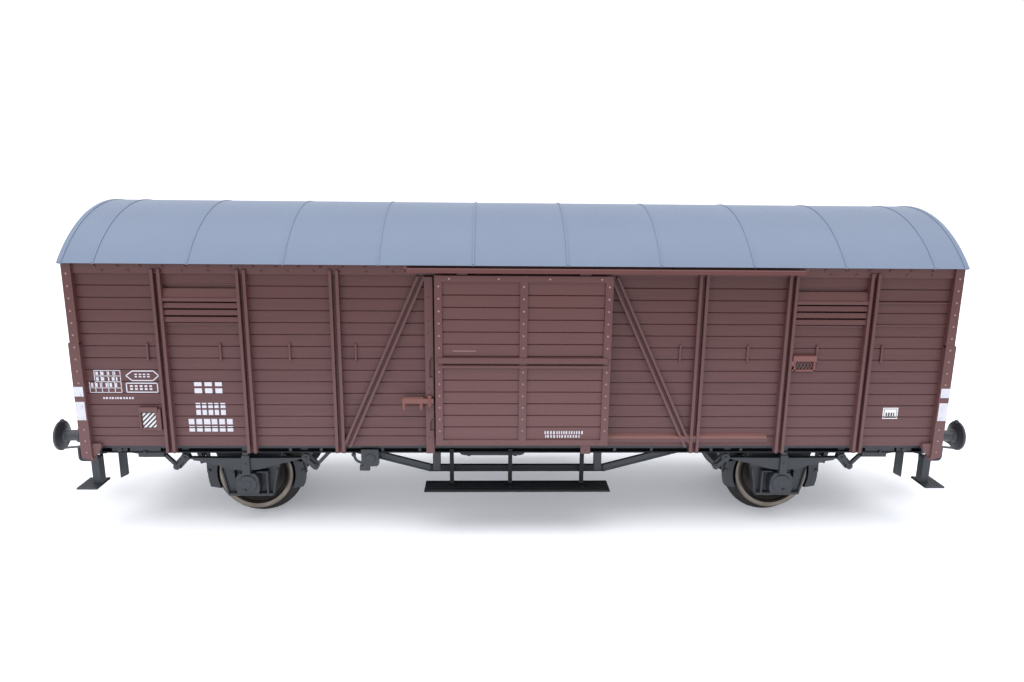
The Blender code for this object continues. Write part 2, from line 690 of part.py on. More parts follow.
def shoe_outline(x0, dx):
    """A brake shoe seen from the side: its curved face follows the tread, a little below the axle."""
    reach, drop = math.radians(22), math.radians(-9)
    polar = [(TREAD_R + 0.25, drop - reach + reach * i / 3) for i in range(7)]
    polar += [(8.0, drop + reach * 0.55), (8.0, drop - reach * 0.55)]
    return [(x0 + dx * radius * math.cos(a), AXLE_Z + radius * math.sin(a)) for radius, a in polar]


def make_brake_gear(side, name):
    """Brake shoes, their hangers and beams at one axle, tied by two pull bars above the axle."""
    x0 = side * AXLE_X
    hanger_y = (9.0, 9.6)
    gear = block((x0 - 8.4, x0 + 8.4), (-2.6, -2.0), (9.6, 10.2))
    union(gear, block((x0 - 8.4, x0 + 8.4), (2.0, 2.6), (9.6, 10.2)))
    for dx in (-1, 1):
        beam_x = x0 + dx * 8.1
        union(gear, block((beam_x - 0.3, beam_x + 0.3), (-9.6, 9.6), (9.55, 10.25)))
        for y in (-1, 1):
            hang_y = sorted((y * hanger_y[0], y * hanger_y[1]))
            shoe_y = sorted((y * 8.45, y * 9.8))
            union(
                gear,
                block((beam_x - 0.35, beam_x + 0.35), hang_y, (5.2, DECK_Z[0] - 0.05)),
                outline(shoe_outline(x0, dx), shoe_y, "Y"),
            )
    return place(f"brake_gear_{name}", gear, BLACK)


def make_air_brake():
    """Brake cylinder with its push rod, air reservoir, and a changeover box on each side."""
    deck_low = DECK_Z[0] - 0.05
    brake = cylinder((3.0, 4.5, 10.2), (9.0, 4.5, 10.2), 1.7)
    union(
        brake,
        cylinder((9.0, 4.5, 10.2), (9.6, 4.5, 10.2), 1.9),
        cylinder((9.5, 4.5, 10.2), (15.0, 4.5, 10.2), 0.4, sides=12),
        block((4.0, 5.0), (3.8, 5.2), (11.4, deck_low)),
        block((7.5, 8.5), (3.8, 5.2), (11.4, deck_low)),
    )
    place("brake_cylinder", brake, BLACK)
    tank = cylinder((-9.5, -4.0, 10.0), (2.0, -4.0, 10.0), 2.2)
    union(
        tank,
        block((-8.0, -7.0), (-5.2, -2.8), (11.4, deck_low)),
        block((-0.5, 0.5), (-5.2, -2.8), (11.4, deck_low)),
        cylinder((1.9, -4.0, 10.0), (2.6, -4.0, 10.0), 0.5, sides=12),
    )
    place("air_reservoir", tank, BLACK)
    box = block((-23.1, -20.4), near(14.63, 15.6), (10.35, 13.05))
    union(
        box,
        block((-23.35, -21.8), near(14.8, 15.4), (9.65, 10.5)),
        rail([(-22.9, -15.3, 10.9), (-23.9, -15.5, 11.4), (-24.1, -15.5, 12.3)], 0.22),
    )
    far_copy(place("brake_changeover_near", box, BLACK), "brake_changeover_far")


def make_truss():
    """Trussing under each sole bar: a lower beam, two posts and two raked arms."""
    low, high = TRUSS_BEAM_Z
    top = SOLE_BAR_Z - 0.05
    reach = TRUSS_BEAM_X + (top - low) / TRUSS_SLOPE
    lift = TRUSS_BEAM_X + (top - high) / TRUSS_SLOPE
    post_in = TRUSS_POST_X - TRUSS_POST_HALF
    post_out = TRUSS_POST_X + TRUSS_POST_HALF
    right = [
        (TRUSS_BEAM_X, low), (reach, top), (lift, top), (post_out, high),
        (post_out, top), (post_in, top), (post_in, high),
    ]
    left = [(-x, z) for x, z in reversed(right)]
    truss = outline(right + left, near(*TRUSS_Y), "Y")
    far_copy(place("truss_near", truss, BLACK), "truss_far")


def make_steps():
    """A long step board under each door and a stirrup step at each corner."""
    back_y, front_y = -STEP_BOARD_Y[0], -STEP_BOARD_Y[1]
    top = STEP_BOARD_Z[1]
    board = block(STEP_BOARD_X, (front_y, back_y), STEP_BOARD_Z)
    hanger = [(-14.65, top - 0.1), (-14.65, 13.05), (-15.2, 13.05), (-15.2, top + 0.3), (-16.8, top + 0.3)]
    hanger.append((-16.8, top - 0.1))
    for x in STEP_HANGER_XS:
        union(board, outline(hanger, (x - STEP_HANGER_HALF, x + STEP_HANGER_HALF), "X"))
    far_copy(place("door_step_near", board, BLACK), "door_step_far")
    for side, name, far_name in ((-1, "near_left", "far_right"), (1, "near_right", "far_left")):
        tread_x = sorted((side * TREAD_X[0], side * TREAD_X[1]))
        tread = block(tread_x, near(*TREAD_Y), TREAD_Z)
        strap_x = sorted((side * 61.3, side * 62.5))
        strap = block(strap_x, near(13.4, 14.9), (TREAD_Z[1] - 0.2, HEADSTOCK_Z[0] - 0.05))
        union(tread, strap)
        far_copy(place(f"corner_step_{name}", tread, BLACK), f"corner_step_{far_name}")


def make_buffer(side, name, far_name):
    """Buffer turned in one piece: foot plate, stepped sleeve, shank and a domed head with a lug."""
    foot_x = HEADSTOCK_X[1] + 0.03
    length = BUFFER_X - foot_x
    profile = [
        (0, length), (1.2, length - 0.08), (BUFFER_R, length - 0.45), (BUFFER_R, length - 0.75),
        (0.85, length - 1.15), (0.85, 4.3), (1.1, 4.25), (1.1, 2.0), (1.35, 1.6), (1.35, 0.0), (0, 0),
    ]
    foot_point = Matrix.Translation((side * foot_x, -BUFFER_Y, BUFFER_Z))
    stand = foot_point @ Matrix.Rotation(math.radians(side * 90), 4, "Y")
    buffer = turned(profile, stand, BUFFER_SIDES)
    foot = sorted((side * foot_x, side * (foot_x + 0.35)))
    lug = sorted((side * (BUFFER_X - 1.15), side * (BUFFER_X - 0.6)))
    union(
        buffer,
        block(foot, (-BUFFER_Y - 1.7, -BUFFER_Y + 1.7), (BUFFER_Z - 1.6, BUFFER_Z + 1.6)),
        block(lug, (-BUFFER_Y - 0.3, -BUFFER_Y + 0.3), (BUFFER_Z + 1.9, BUFFER_Z + 2.55)),
    )
    far_copy(place(f"buffer_{name}", buffer, BLACK), f"buffer_{far_name}")


def make_coupler():
    """Pocket on a vertical pin, a head plugged into it, and a lifting wire loop, at the left end."""
    pivot_x, z0 = -COUPLER_PIVOT_X, COUPLER_Z
    pocket = block((-62.3, pivot_x + 1.8), (-1.95, 1.95), (z0 - 1.3, z0 + 1.3))
    union(pocket, cylinder((pivot_x, 0, z0 + 1.0), (pivot_x, 0, DECK_Z[0] - 0.3), 0.8))
    cut(pocket, block((-63, -57.9), (-1.6, 1.6), (z0 - 0.85, z0 + 0.85)))

    head = block((-69.6, -58.1), (-1.5, 1.5), (z0 - 0.78, z0 + 0.78))
    hook = [(-70.0, z0 - 1.0), (-66.6, z0 - 0.5), (-66.6, z0 - 1.4), (-69.0, z0 - 2.6), (-70.0, z0 - 2.6)]
    union(
        head,
        block((-70.1, -69.3), (-3.7, 3.7), (z0 - 1.1, z0 + 1.1)),
        block((-69.5, -66.6), (-3.7, 3.7), (z0 - 0.6, z0 + 0.1)),
        outline(hook, (-0.5, 0.5), "Y"),
    )
    for y in (-3.45, 3.45):
        union(head, block((-68.6, -67.0), (y - 0.25, y + 0.25), (z0 - 0.4, z0 + 0.9)))
    pin_hole = cylinder((-LOOP_HINGE_X, -5, z0 + 0.4), (-LOOP_HINGE_X, 5, z0 + 0.4), 0.29, sides=16)
    cut(head, pin_hole)

    hinge_z = z0 + 0.4
    half, tip_z = 4.35, z0 - 0.1
    arm_x = -LOOP_HINGE_X
    path = [
        (arm_x, -2.9, hinge_z), (arm_x, -half + 0.3, hinge_z), (arm_x - 0.3, -half, hinge_z),
        (-LOOP_TIP_X + 0.7, -half, tip_z), (-LOOP_TIP_X + 0.25, -half + 0.4, tip_z),
    ]
    path += [(x, -y, z) for x, y, z in reversed(path)]
    loop = rail(path, 0.22)

    ends = (("left", 0.0), ("right", math.pi))
    made = {}
    for end, turn in ends:
        flip = Matrix.Rotation(turn, 4, "Z")
        swing = pivot(f"coupler_{end}_pivot", flip @ Vector((pivot_x, 0, z0)), root)
        lift = pivot(f"coupler_{end}_loop_hinge", flip @ Vector((arm_x, 0, hinge_z)), swing)
        if end == "left":
            made["coupler_pocket"] = place("coupler_pocket_left", pocket, BLACK, swing)
            made["coupler_head"] = place("coupler_head_left", head, BLACK, swing)
            made["coupler_loop"] = place("coupler_loop_left", loop, WIRE_METAL, lift)
        else:
            for piece, obj in made.items():
                far_copy(obj, f"{piece}_right", lift if piece == "coupler_loop" else swing)


clear_scene()
parts = new_collection(WAGON)
tools = new_collection("tools")
root = pivot(WAGON, (0, 0, 0))

make_body_shell()
make_roof()
make_underframe()
make_floor_and_ballast()
make_doors()
make_vent(-VENT_X, "vent_near_left", "vent_far_right")
make_vent(VENT_X, "vent_near_right", "vent_far_left")
make_label_boxes()
make_axle_guard(-1, "axle_guard_near_left", "axle_guard_far_right")
make_axle_guard(1, "axle_guard_near_right", "axle_guard_far_left")
for axle_side, axle_name in ((-1, "left"), (1, "right")):
    make_wheelset(axle_side, axle_name)
    make_brake_gear(axle_side, axle_name)
make_air_brake()
make_truss()
make_steps()
make_buffer(-1, "near_left", "far_right")
make_buffer(1, "near_right", "far_left")
make_coupler()
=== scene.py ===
"""Detailed look of an H0 covered goods wagon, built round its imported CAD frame.

Shapes are written in millimetres and turned into metres when they become a piece. X runs along the
wagon and Z is up. Most shapes are written once for the near side, with Y as the distance out from
the middle; the far side is the same mesh turned half a turn about Z, as in the CAD.
"""

import math
import random

import bmesh
import bpy
from mathutils import Matrix, Vector


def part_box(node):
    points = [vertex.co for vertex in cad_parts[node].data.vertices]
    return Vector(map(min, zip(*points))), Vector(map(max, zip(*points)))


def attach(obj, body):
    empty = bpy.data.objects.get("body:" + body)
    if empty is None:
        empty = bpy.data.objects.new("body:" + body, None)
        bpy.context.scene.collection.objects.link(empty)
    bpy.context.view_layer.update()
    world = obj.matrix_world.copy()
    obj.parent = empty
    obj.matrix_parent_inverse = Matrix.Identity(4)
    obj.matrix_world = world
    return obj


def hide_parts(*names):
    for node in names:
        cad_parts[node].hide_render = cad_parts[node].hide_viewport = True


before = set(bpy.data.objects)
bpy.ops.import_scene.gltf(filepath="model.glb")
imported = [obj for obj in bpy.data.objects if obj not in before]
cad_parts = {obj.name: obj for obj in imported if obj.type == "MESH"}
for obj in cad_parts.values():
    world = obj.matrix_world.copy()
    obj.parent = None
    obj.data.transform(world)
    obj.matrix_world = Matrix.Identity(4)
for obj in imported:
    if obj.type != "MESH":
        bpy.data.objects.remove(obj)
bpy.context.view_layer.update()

MM = 0.001
HALF_TURN = Matrix.Rotation(math.pi, 4, "Z")
BODY = "wagon"


# ---------------------------------------------------------------- mesh helpers


def limits(node):
    """Lowest and highest corner of a CAD node, in millimetres."""
    low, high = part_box(node)
    return low / MM, high / MM


def bevelled(bm, width, steps=1, angle=30):
    """Rounds every edge that is sharper than the angle."""
    least = math.radians(angle)
    sharp = [e for e in bm.edges if len(e.link_faces) == 2 and e.calc_face_angle(0) > least]
    if width and sharp:
        bmesh.ops.bevel(
            bm, geom=sharp, offset=width, offset_type="OFFSET", segments=steps, profile=0.5,
            affect="EDGES",
        )
    return bm


def box_mesh(x, y, z):
    bm = bmesh.new()
    size = (abs(x[1] - x[0]), abs(y[1] - y[0]), abs(z[1] - z[0]))
    middle = Vector((x[0] + x[1], y[0] + y[1], z[0] + z[1])) / 2
    stretch = Matrix.Translation(middle) @ Matrix.Diagonal((*size, 1.0))
    bmesh.ops.create_cube(bm, size=1.0, matrix=stretch)
    return bm


def wall_faces(bm, low, high):
    """Faces all round between two loops of vertices."""
    count = len(low)
    for i in range(count):
        j = (i + 1) % count
        bm.faces.new((low[i], low[j], high[j], high[i]))


def filled_between(bm, loops):
    """A solid between two flat loops of vertices."""
    bm.faces.new(loops[0])
    bm.faces.new(loops[1])
    wall_faces(bm, *loops)
    return bm


def prism_mesh(outline, depth, axis):
    """A closed outline given depth: (y, z) points along X, (x, z) along Y or (x, y) along Z."""
    order = {"X": (2, 0, 1), "Y": (0, 2, 1), "Z": (0, 1, 2)}[axis]
    bm = bmesh.new()
    return filled_between(
        bm, [[bm.verts.new([(u, v, w)[i] for i in order]) for u, v in outline] for w in depth]
    )


def skewed_mesh(outline, start, end):
    """A sloping bar with level ends: an (x, y) outline swept between two (x, z) points."""
    bm = bmesh.new()
    return filled_between(
        bm, [[bm.verts.new((x + px, py, z)) for px, py in outline] for x, z in (start, end)]
    )


def lathe_mesh(profile, sides, closed=False):
    """(radius, height) points spun about Z."""
    bm = bmesh.new()
    rings = []
    turn = [2 * math.pi * i / sides for i in range(sides)]
    for radius, height in profile:
        if radius < 1e-6:
            rings.append([bm.verts.new((0, 0, height))] * sides)
            continue
        points = [(radius * math.cos(a), radius * math.sin(a), height) for a in turn]
        rings.append([bm.verts.new(point) for point in points])
    pairs = list(zip(rings, rings[1:]))
    if closed:
        pairs.append((rings[-1], rings[0]))
    for low, high in pairs:
        for i in range(sides):
            j = (i + 1) % sides
            corners = []
            for vert in (low[i], low[j], high[j], high[i]):
                if vert not in corners:
                    corners.append(vert)
            if len(corners) > 2:
                bm.faces.new(corners)
    return bm


def rounded_path(points, radius, steps=5):
    """A polyline with its corners rounded off."""
    points = [Vector(p) for p in points]
    path = [points[0]]
    for before, corner, after in zip(points, points[1:], points[2:]):
        to_before, to_after = (before - corner), (after - corner)
        reach = min(radius, to_before.length * 0.45, to_after.length * 0.45)
        start = corner + to_before.normalized() * reach
        end = corner + to_after.normalized() * reach
        for i in range(steps + 1):
            t = i / steps
            path.append(start * (1 - t) ** 2 + corner * 2 * t * (1 - t) + end * t * t)
    path.append(points[-1])
    return path


def tube_mesh(points, radius, sides=10):
    """A round bar along points, with closed ends."""
    points = [Vector(p) for p in points]
    bm = bmesh.new()
    rings = []
    across = None
    for i, point in enumerate(points):
        ahead = points[min(i + 1, len(points) - 1)] - points[max(i - 1, 0)]
        ahead.normalize()
        if across is None:
            across = ahead.orthogonal().normalized()
        across = (across - ahead * across.dot(ahead)).normalized()
        other = ahead.cross(across)
        ring = []
        for k in range(sides):
            a = 2 * math.pi * k / sides
            ring.append(bm.verts.new(point + (across * math.cos(a) + other * math.sin(a)) * radius))
        rings.append(ring)
    for low, high in zip(rings, rings[1:]):
        wall_faces(bm, low, high)
    bm.faces.new(rings[0])
    bm.faces.new(rings[-1])
    return bm


def face_out(bm):
    """Turns every face of a closed solid outwards."""
    bmesh.ops.recalc_face_normals(bm, faces=bm.faces)
    if bm.calc_volume(signed=True) < 0:
        bmesh.ops.reverse_faces(bm, faces=bm.faces)


def scratch(bm):
    """A short-lived object for a Boolean step."""
    mesh = bpy.data.meshes.new("scratch")
    face_out(bm)
    bm.to_mesh(mesh)
    bm.free()
    obj = bpy.data.objects.new("scratch", mesh)
    bpy.context.scene.collection.objects.link(obj)
    return obj


def carved(bm, *tools, operation="DIFFERENCE"):
    """The solid cut by, or kept inside, each of the tools."""
    base = scratch(bm)
    for tool_bm in tools:
        tool = scratch(tool_bm)
        step = base.modifiers.new("carve", "BOOLEAN")
        step.operation = operation
        step.solver = "EXACT"
        step.object = tool
        graph = bpy.context.evaluated_depsgraph_get()
        mesh = bpy.data.meshes.new_from_object(base.evaluated_get(graph))
        base.modifiers.clear()
        base.data = mesh
        bpy.data.objects.remove(tool)
    result = bmesh.new()
    result.from_mesh(base.data)
    bmesh.ops.remove_doubles(result, verts=result.verts, dist=0.0005)
    bpy.data.objects.remove(base)
    return result


def dome_template(sides=8):
    """Points and faces of a low rivet head of radius 1 on the XY plane, pointing up."""
    profile = [(0, -0.4), (1.0, -0.4), (1.0, 0.0), (0.86, 0.4), (0.5, 0.66), (0, 0.76)]
    bm = lathe_mesh(profile, sides)
    bmesh.ops.recalc_face_normals(bm, faces=bm.faces)
    bm.verts.index_update()
    points = [v.co.copy() for v in bm.verts]
    faces = [[v.index for v in f.verts] for f in bm.faces]
    bm.free()
    return points, faces


DOME_POINTS, DOME_FACES = dome_template()
FACING = {
    "out": Matrix.Rotation(math.radians(-90), 3, "X"),
    "+X": Matrix.Rotation(math.radians(90), 3, "Y"),
    "-X": Matrix.Rotation(math.radians(-90), 3, "Y"),
}
OUTWARD = {-1: "-X", 1: "+X"}


class Shape:
    """Closed solids in millimetres, gathered into one piece."""

    def __init__(self):
        self.points = []
        self.faces = []

    def extend(self, points, faces):
        """Adds points, and faces that count from the first of them."""
        start = len(self.points)
        self.points += points
        self.faces += [[start + i for i in f] for f in faces]
        return self

    def add(self, bm, matrix=None):
        if matrix is not None:
            bm.transform(matrix)
        face_out(bm)
        bm.verts.index_update()
        points = [v.co.copy() for v in bm.verts]
        self.extend(points, [[v.index for v in f.verts] for f in bm.faces])
        bm.free()
        return self

    def box(self, x, y, z, edge=0.06, steps=1):
        return self.add(bevelled(box_mesh(x, y, z), edge, steps))

    def prism(self, outline, depth, axis, edge=0.06, steps=1):
        return self.add(bevelled(prism_mesh(outline, depth, axis), edge, steps))

    def tube(self, points, radius, sides=10):
        return self.add(tube_mesh(points, radius, sides))

    def disc(self, profile, start, direction, sides=24, closed=False):
        """A turned solid whose axis starts at a point and runs along a direction."""
        turn = Vector((0, 0, 1)).rotation_difference(Vector(direction)).to_matrix().to_4x4()
        return self.add(lathe_mesh(profile, sides, closed), Matrix.Translation(start) @ turn)

    def band(self, centre, inner, outer, half, sides):
        """A band round a cylinder that lies along the wagon."""
        section = rectangle((inner, outer), (-half, half))
        return self.disc(section, centre, (1, 0, 0), sides, True)

    def boxes(self, back, rows):
        """Boxes that all reach out from one place. A row is x, front, z, edge and steps."""
        for x, front, z, *edge in rows:
            self.box(x, (back, front), z, *edge)
        return self

    def rod(self, start, end, radius, sides, edge):
        """A round bar with its rims broken."""
        start, end = Vector(start), Vector(end)
        length = (end - start).length
        rim = [(radius - edge, 0), (radius, edge), (radius, length - edge), (radius - edge, length)]
        profile = [(0, 0), *rim, (0, length)]
        return self.disc(profile, start, end - start, sides)

    def rivet(self, point, radius, facing="out"):
        turn = FACING[facing]
        return self.extend([Vector(point) + turn @ (p * radius) for p in DOME_POINTS], DOME_FACES)

    def both_ways(self):
        """Adds the same solids half-turned to the other side."""
        return self.extend([Vector((-p.x, -p.y, p.z)) for p in self.points], self.faces)

    def mirrored(self):
        """Points and faces of the same solids mirrored across the middle."""
        return [Vector((p.x, -p.y, p.z)) for p in self.points], [f[::-1] for f in self.faces]

    def both_sides(self):
        return self.extend(*self.mirrored())

    def near_side(self):
        """Turns distances out from the middle into places on the near side, which is at -Y."""
        self.points, self.faces = self.mirrored()
        return self


def settle(obj, node, body):
    """Puts a piece in the scene, on its body, in the place of a CAD node if it stands for one."""
    bpy.context.scene.collection.objects.link(obj)
    weighted = obj.modifiers.new("normals", "WEIGHTED_NORMAL")
    weighted.keep_sharp = True
    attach(obj, body)
    if node:
        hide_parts(node)
    return obj


def piece(name, shape, finish, node="", body=BODY, origin=(0, 0, 0), angle=32):
    """Makes the shape an object with its own origin, smooth up to an angle."""
    origin = Vector(origin)
    mesh = bpy.data.meshes.new(name)
    mesh.from_pydata([(p - origin) * MM for p in shape.points], [], shape.faces)
    mesh.validate()
    mesh.materials.append(finish)
    mesh.shade_smooth()
    mesh.set_sharp_from_angle(angle=math.radians(angle))
    obj = bpy.data.objects.new(name, mesh)
    obj.location = origin * MM
    return settle(obj, node, body)


SIDES = ("near", "far")
ENDS = ("left", "right")
CORNERS = {-1: ("near_left", "far_right"), 1: ("near_right", "far_left")}


def twins(name, shape, finish, node="", body=BODY, sides=SIDES):
    """A piece, and the same mesh half a turn away. Name, node and body hold {} for the side."""
    first, second = sides
    made = piece(name.format(first), shape, finish, node.format(first), body.format(first))
    twin = bpy.data.objects.new(name.format(second), made.data)
    twin.matrix_world = HALF_TURN @ Matrix.Translation(made.location)
    settle(twin, node.format(second), body.format(second))


def pair(name, shape, finish, node="", body=BODY, sides=SIDES):
    """A piece on the near side, whose shape gives distances out from the middle, and its twin."""
    twins(name, shape.near_side(), finish, node, body, sides)


# ---------------------------------------------------------------- materials


def linear(red, green, blue):
    """A linear colour from 0-255 display values."""
    out = []
    for value in (red, green, blue):
        share = value / 255
        out.append(share / 12.92 if share <= 0.04045 else ((share + 0.055) / 1.055) ** 2.4)
    return out


class Finish:
    """A node material on the Principled shader, with helpers for patterns that finishes share."""

    def __init__(self, name, roughness, metallic=0.0, specular=0.5):
        self.material = bpy.data.materials.new(name)
        self.material.use_nodes = True
        self.tree = self.material.node_tree
        self.shader = self.tree.nodes["Principled BSDF"]
        self.shader.inputs["Metallic"].default_value = metallic
        self.shader.inputs["Specular IOR Level"].default_value = specular
        self.shader.inputs["Roughness"].default_value = roughness
        self.coords = self.tree.nodes.new("ShaderNodeTexCoord").outputs["Object"]
        self.normal = None

    def node(self, kind, **settings):
        made = self.tree.nodes.new(kind)
        for key, value in settings.items():
            setattr(made, key, value)
        return made

    def link(self, out, into):
        self.tree.links.new(out, into)

    def noise(self, scale, stretch=(1, 1, 1), detail=3.0, coords=None):
        """Noise from 0 to 1 with features about 1 / scale millimetres across."""
        mapping = self.node("ShaderNodeMapping")
        mapping.inputs["Scale"].default_value = [s / MM * scale for s in stretch]
        self.link(coords or self.coords, mapping.inputs["Vector"])
        texture = self.node("ShaderNodeTexNoise")
        texture.inputs["Scale"].default_value = 1.0
        texture.inputs["Detail"].default_value = detail
        self.link(mapping.outputs["Vector"], texture.inputs["Vector"])
        return texture.outputs["Fac"]

    def spread(self, value, low, high, from_low=0.3, from_high=0.7):
        """The value's middle range stretched to run from low to high."""
        ranged = self.node("ShaderNodeMapRange")
        ranged.inputs["From Min"].default_value = from_low
        ranged.inputs["From Max"].default_value = from_high
        ranged.inputs["To Min"].default_value = low
        ranged.inputs["To Max"].default_value = high
        self.link(value, ranged.inputs["Value"])
        return ranged.outputs["Result"]

    def between(self, factor, first, second):
        """A colour between two others. Each is a plain colour or an output."""
        mix = self.node("ShaderNodeMix", data_type="RGBA")
        self.link(factor, mix.inputs["Factor"])
        for socket, colour in (("A", first), ("B", second)):
            target = next(i for i in mix.inputs if i.name == socket and i.type == "RGBA")
            if isinstance(colour, bpy.types.NodeSocket):
                self.link(colour, target)
            else:
                target.default_value = (*colour, 1.0)
        return next(o for o in mix.outputs if o.type == "RGBA")

    def bump(self, height, depth_mm, strength=1.0):
        made = self.node("ShaderNodeBump")
        made.inputs["Strength"].default_value = strength
        made.inputs["Distance"].default_value = depth_mm * MM
        self.link(height, made.inputs["Height"])
        if self.normal:
            self.link(self.normal, made.inputs["Normal"])
        self.normal = made.outputs["Normal"]
        self.link(self.normal, self.shader.inputs["Normal"])

    def colour(self, out):
        self.link(out, self.shader.inputs["Base Color"])

    def roughness(self, out):
        self.link(out, self.shader.inputs["Roughness"])


def tinted(colour, factor):
    return [c * factor for c in colour]


def moulded(
    name, colour, roughness, mottle=0.05, specular=0.5, grain_mm=0.0, metallic=0.0, fine=0.006,
    low=None,
):
    """Painted moulded plastic: a faint cloudy tone, a fine orange peel and uneven gloss. Given low,
    the colour also lightens towards the sill: painted light for the floor's glow below and painted
    shade under the eaves above.
    """
    finish = Finish(name, roughness, metallic, specular)
    cloudy = finish.spread(finish.noise(0.16), 0.0, 1.0)
    tone = finish.between(cloudy, tinted(colour, 1 - mottle), tinted(colour, 1 + mottle))
    if low:
        # painted light: the colour lightens from the eaves down to the sill, standing in for light
        # thrown up off the floor and shade under the eaves
        shaded_top_z, lit_bottom_z = 36 * MM, 16 * MM
        height = finish.node("ShaderNodeSeparateXYZ")
        finish.link(finish.coords, height.inputs["Vector"])
        painted_fade = finish.spread(height.outputs["Z"], 0.0, 1.0, shaded_top_z, lit_bottom_z)
        tone = finish.between(painted_fade, tone, low)
    if grain_mm:
        streaks = finish.noise(2.2, (0.05, 1, 1), 4.0)
        shade = finish.spread(streaks, 0.0, 1.0, 0.35, 0.65)
        tone = finish.between(finish.spread(shade, 0.0, 0.16, 0, 1), tone, tinted(colour, 0.62))
        finish.bump(streaks, grain_mm)
    finish.colour(tone)
    speckle = finish.noise(3.5, detail=2.0)
    finish.roughness(finish.spread(speckle, roughness - 0.05, roughness + 0.06))
    finish.bump(speckle, fine)
    return finish.material


def turned_metal(name, colour, roughness, ring_mm=0.12):
    """Machined metal with fine rings about its own Y axis, and a patchy brown bloom."""
    finish = Finish(name, roughness, 1.0)
    parts = finish.node("ShaderNodeSeparateXYZ")
    finish.link(finish.coords, parts.inputs["Vector"])
    flat = finish.node("ShaderNodeCombineXYZ")
    finish.link(parts.outputs["X"], flat.inputs["X"])
    finish.link(parts.outputs["Z"], flat.inputs["Z"])
    length = finish.node("ShaderNodeVectorMath", operation="LENGTH")
    finish.link(flat.outputs["Vector"], length.inputs[0])
    radial = finish.node("ShaderNodeCombineXYZ")
    finish.link(length.outputs["Value"], radial.inputs["X"])
    rings = finish.noise(1 / ring_mm, coords=radial.outputs["Vector"])
    bloom = finish.spread(finish.noise(0.5), 0.0, 1.0)
    finish.colour(finish.between(bloom, tinted(colour, 0.8), tinted(colour, 1.1)))
    finish.roughness(finish.spread(rings, roughness - 0.08, roughness + 0.1))
    finish.bump(rings, 0.004)
    return finish.material


def printed(name, colour, roughness=0.5):
    """Tampo print: thin ink that lets a little of the ground through."""
    finish = Finish(name, roughness)
    worn = finish.spread(finish.noise(4.0, detail=4.0), 0.0, 0.22, 0.42, 0.75)
    finish.colour(finish.between(worn, colour, tinted(colour, 0.6)))
    return finish.material


# the body and frame browns carry painted light: lighter towards the sill, darker under the eaves
BROWN = moulded(
    "body_brown", linear(77, 46, 45), 0.5, 0.035, 0.3, grain_mm=0.02, low=linear(94, 66, 68)
)
FRAME_BROWN = moulded("frame_brown", linear(81, 48, 47), 0.44, 0.03, 0.35, low=linear(97, 67, 68))
RAIL_BROWN = moulded("rail_brown", linear(86, 46, 45), 0.42, 0.04, 0.35)
# painted highlight: rivets and studs are a much lighter brown than the frames, standing in for
# gloss highlights on their domes
HIGHLIT_RIVET_BROWN = moulded("rivet_highlight_brown", linear(138, 106, 104), 0.35, 0.04)
# painted highlight: the lower rail's lip is lighter and redder, as its sloped top is lit from above
LIT_LIP_BROWN = moulded("lip_highlight_brown", linear(112, 73, 68), 0.42, 0.04)
HOLDER_BROWN = moulded("holder_brown", linear(104, 60, 57), 0.42, 0.05)
LATCH_BROWN = moulded("latch_brown", linear(108, 64, 58), 0.42, 0.05)
ROOF_GREY = moulded(
    "roof_grey", linear(104, 117, 139), 0.42, mottle=0.02, specular=0.35, fine=0.004
)
FRAME_BLACK = moulded("frame_black", linear(42, 46, 52), 0.48, mottle=0.08)
# partly painted shade: the step board's black is darker than the frame black, standing in for the
# shadow it hangs in
SHADED_STEP_BLACK = moulded("step_black_shaded", linear(16, 18, 22), 0.5, mottle=0.1, specular=0.25)
# painted shade: a near black for parts that sit in the shadow under the body, darker than the frame
# black of the same plastic
SHADOW_BLACK = moulded("truss_black", linear(22, 24, 30), 0.5, mottle=0.08, specular=0.25)
BUFFER_BLACK = moulded("buffer_black", linear(56, 58, 65), 0.38, mottle=0.06)
FLOOR_WOOD = moulded("floor_grey", linear(126, 118, 106), 0.7, mottle=0.08, grain_mm=0.04)
BALLAST_STEEL = moulded(
    "ballast_steel", linear(170, 170, 172), 0.4, metallic=1.0, mottle=0.05, grain_mm=0.01
)
TYRE_METAL = turned_metal("wheel_metal", linear(122, 114, 106), 0.36)
TREAD_METAL = turned_metal("wheel_tread", linear(66, 64, 64), 0.45)
DISC_METAL = turned_metal("wheel_disc", linear(62, 58, 56), 0.5)
AXLE_STEEL = turned_metal("axle_steel", linear(176, 176, 180), 0.28)
BUSH_PLASTIC = moulded("bush_plastic", linear(48, 48, 50), 0.45, mottle=0.05)
COUPLER_WIRE = moulded("coupler_wire", linear(86, 86, 90), 0.35, metallic=0.8, mottle=0.1)
INK_WHITE = printed("ink_white", linear(198, 198, 208))
INK_DARK = printed("ink_dark", linear(54, 42, 44))
PLATE_WHITE = printed("plate_white", linear(214, 214, 218), 0.4)


# ---------------------------------------------------------------- body shell

shell_low = limits("body_shell")[0]
roof_high = limits("roof")[1]

WALL_OUT, WALL_IN = 16.1, 15.2
WALL_END, WALL_END_IN = 61.6, 60.75
SILL_Z, END_SILL_Z = 13.85, 14.7
ROOF_CENTRE_Z = 24.5
ROOF_R = 23.6
FIT_R = ROOF_R - 0.78
PLANK = 1.717
GROOVES = [37.23 - PLANK * n for n in range(13)] + [15.37]
OPENING_X, OPENING_Z = (-11.4, 12.4), (15.9, 38.0)
POST_XS = (25.7, 38.35, 49.9)
POST_HALF = 0.68
# where each diagonal starts at the foot and ends at the head
BRACES = ((-24.75, -13.7), (24.85, 13.1))
BRACE_Z = (13.9, 38.8)
BRACE_OUT = 16.78
TIE_XS = (-52.1, -42.0, -32.35, -23.1, 23.0, 32.75, 42.75, 52.2)
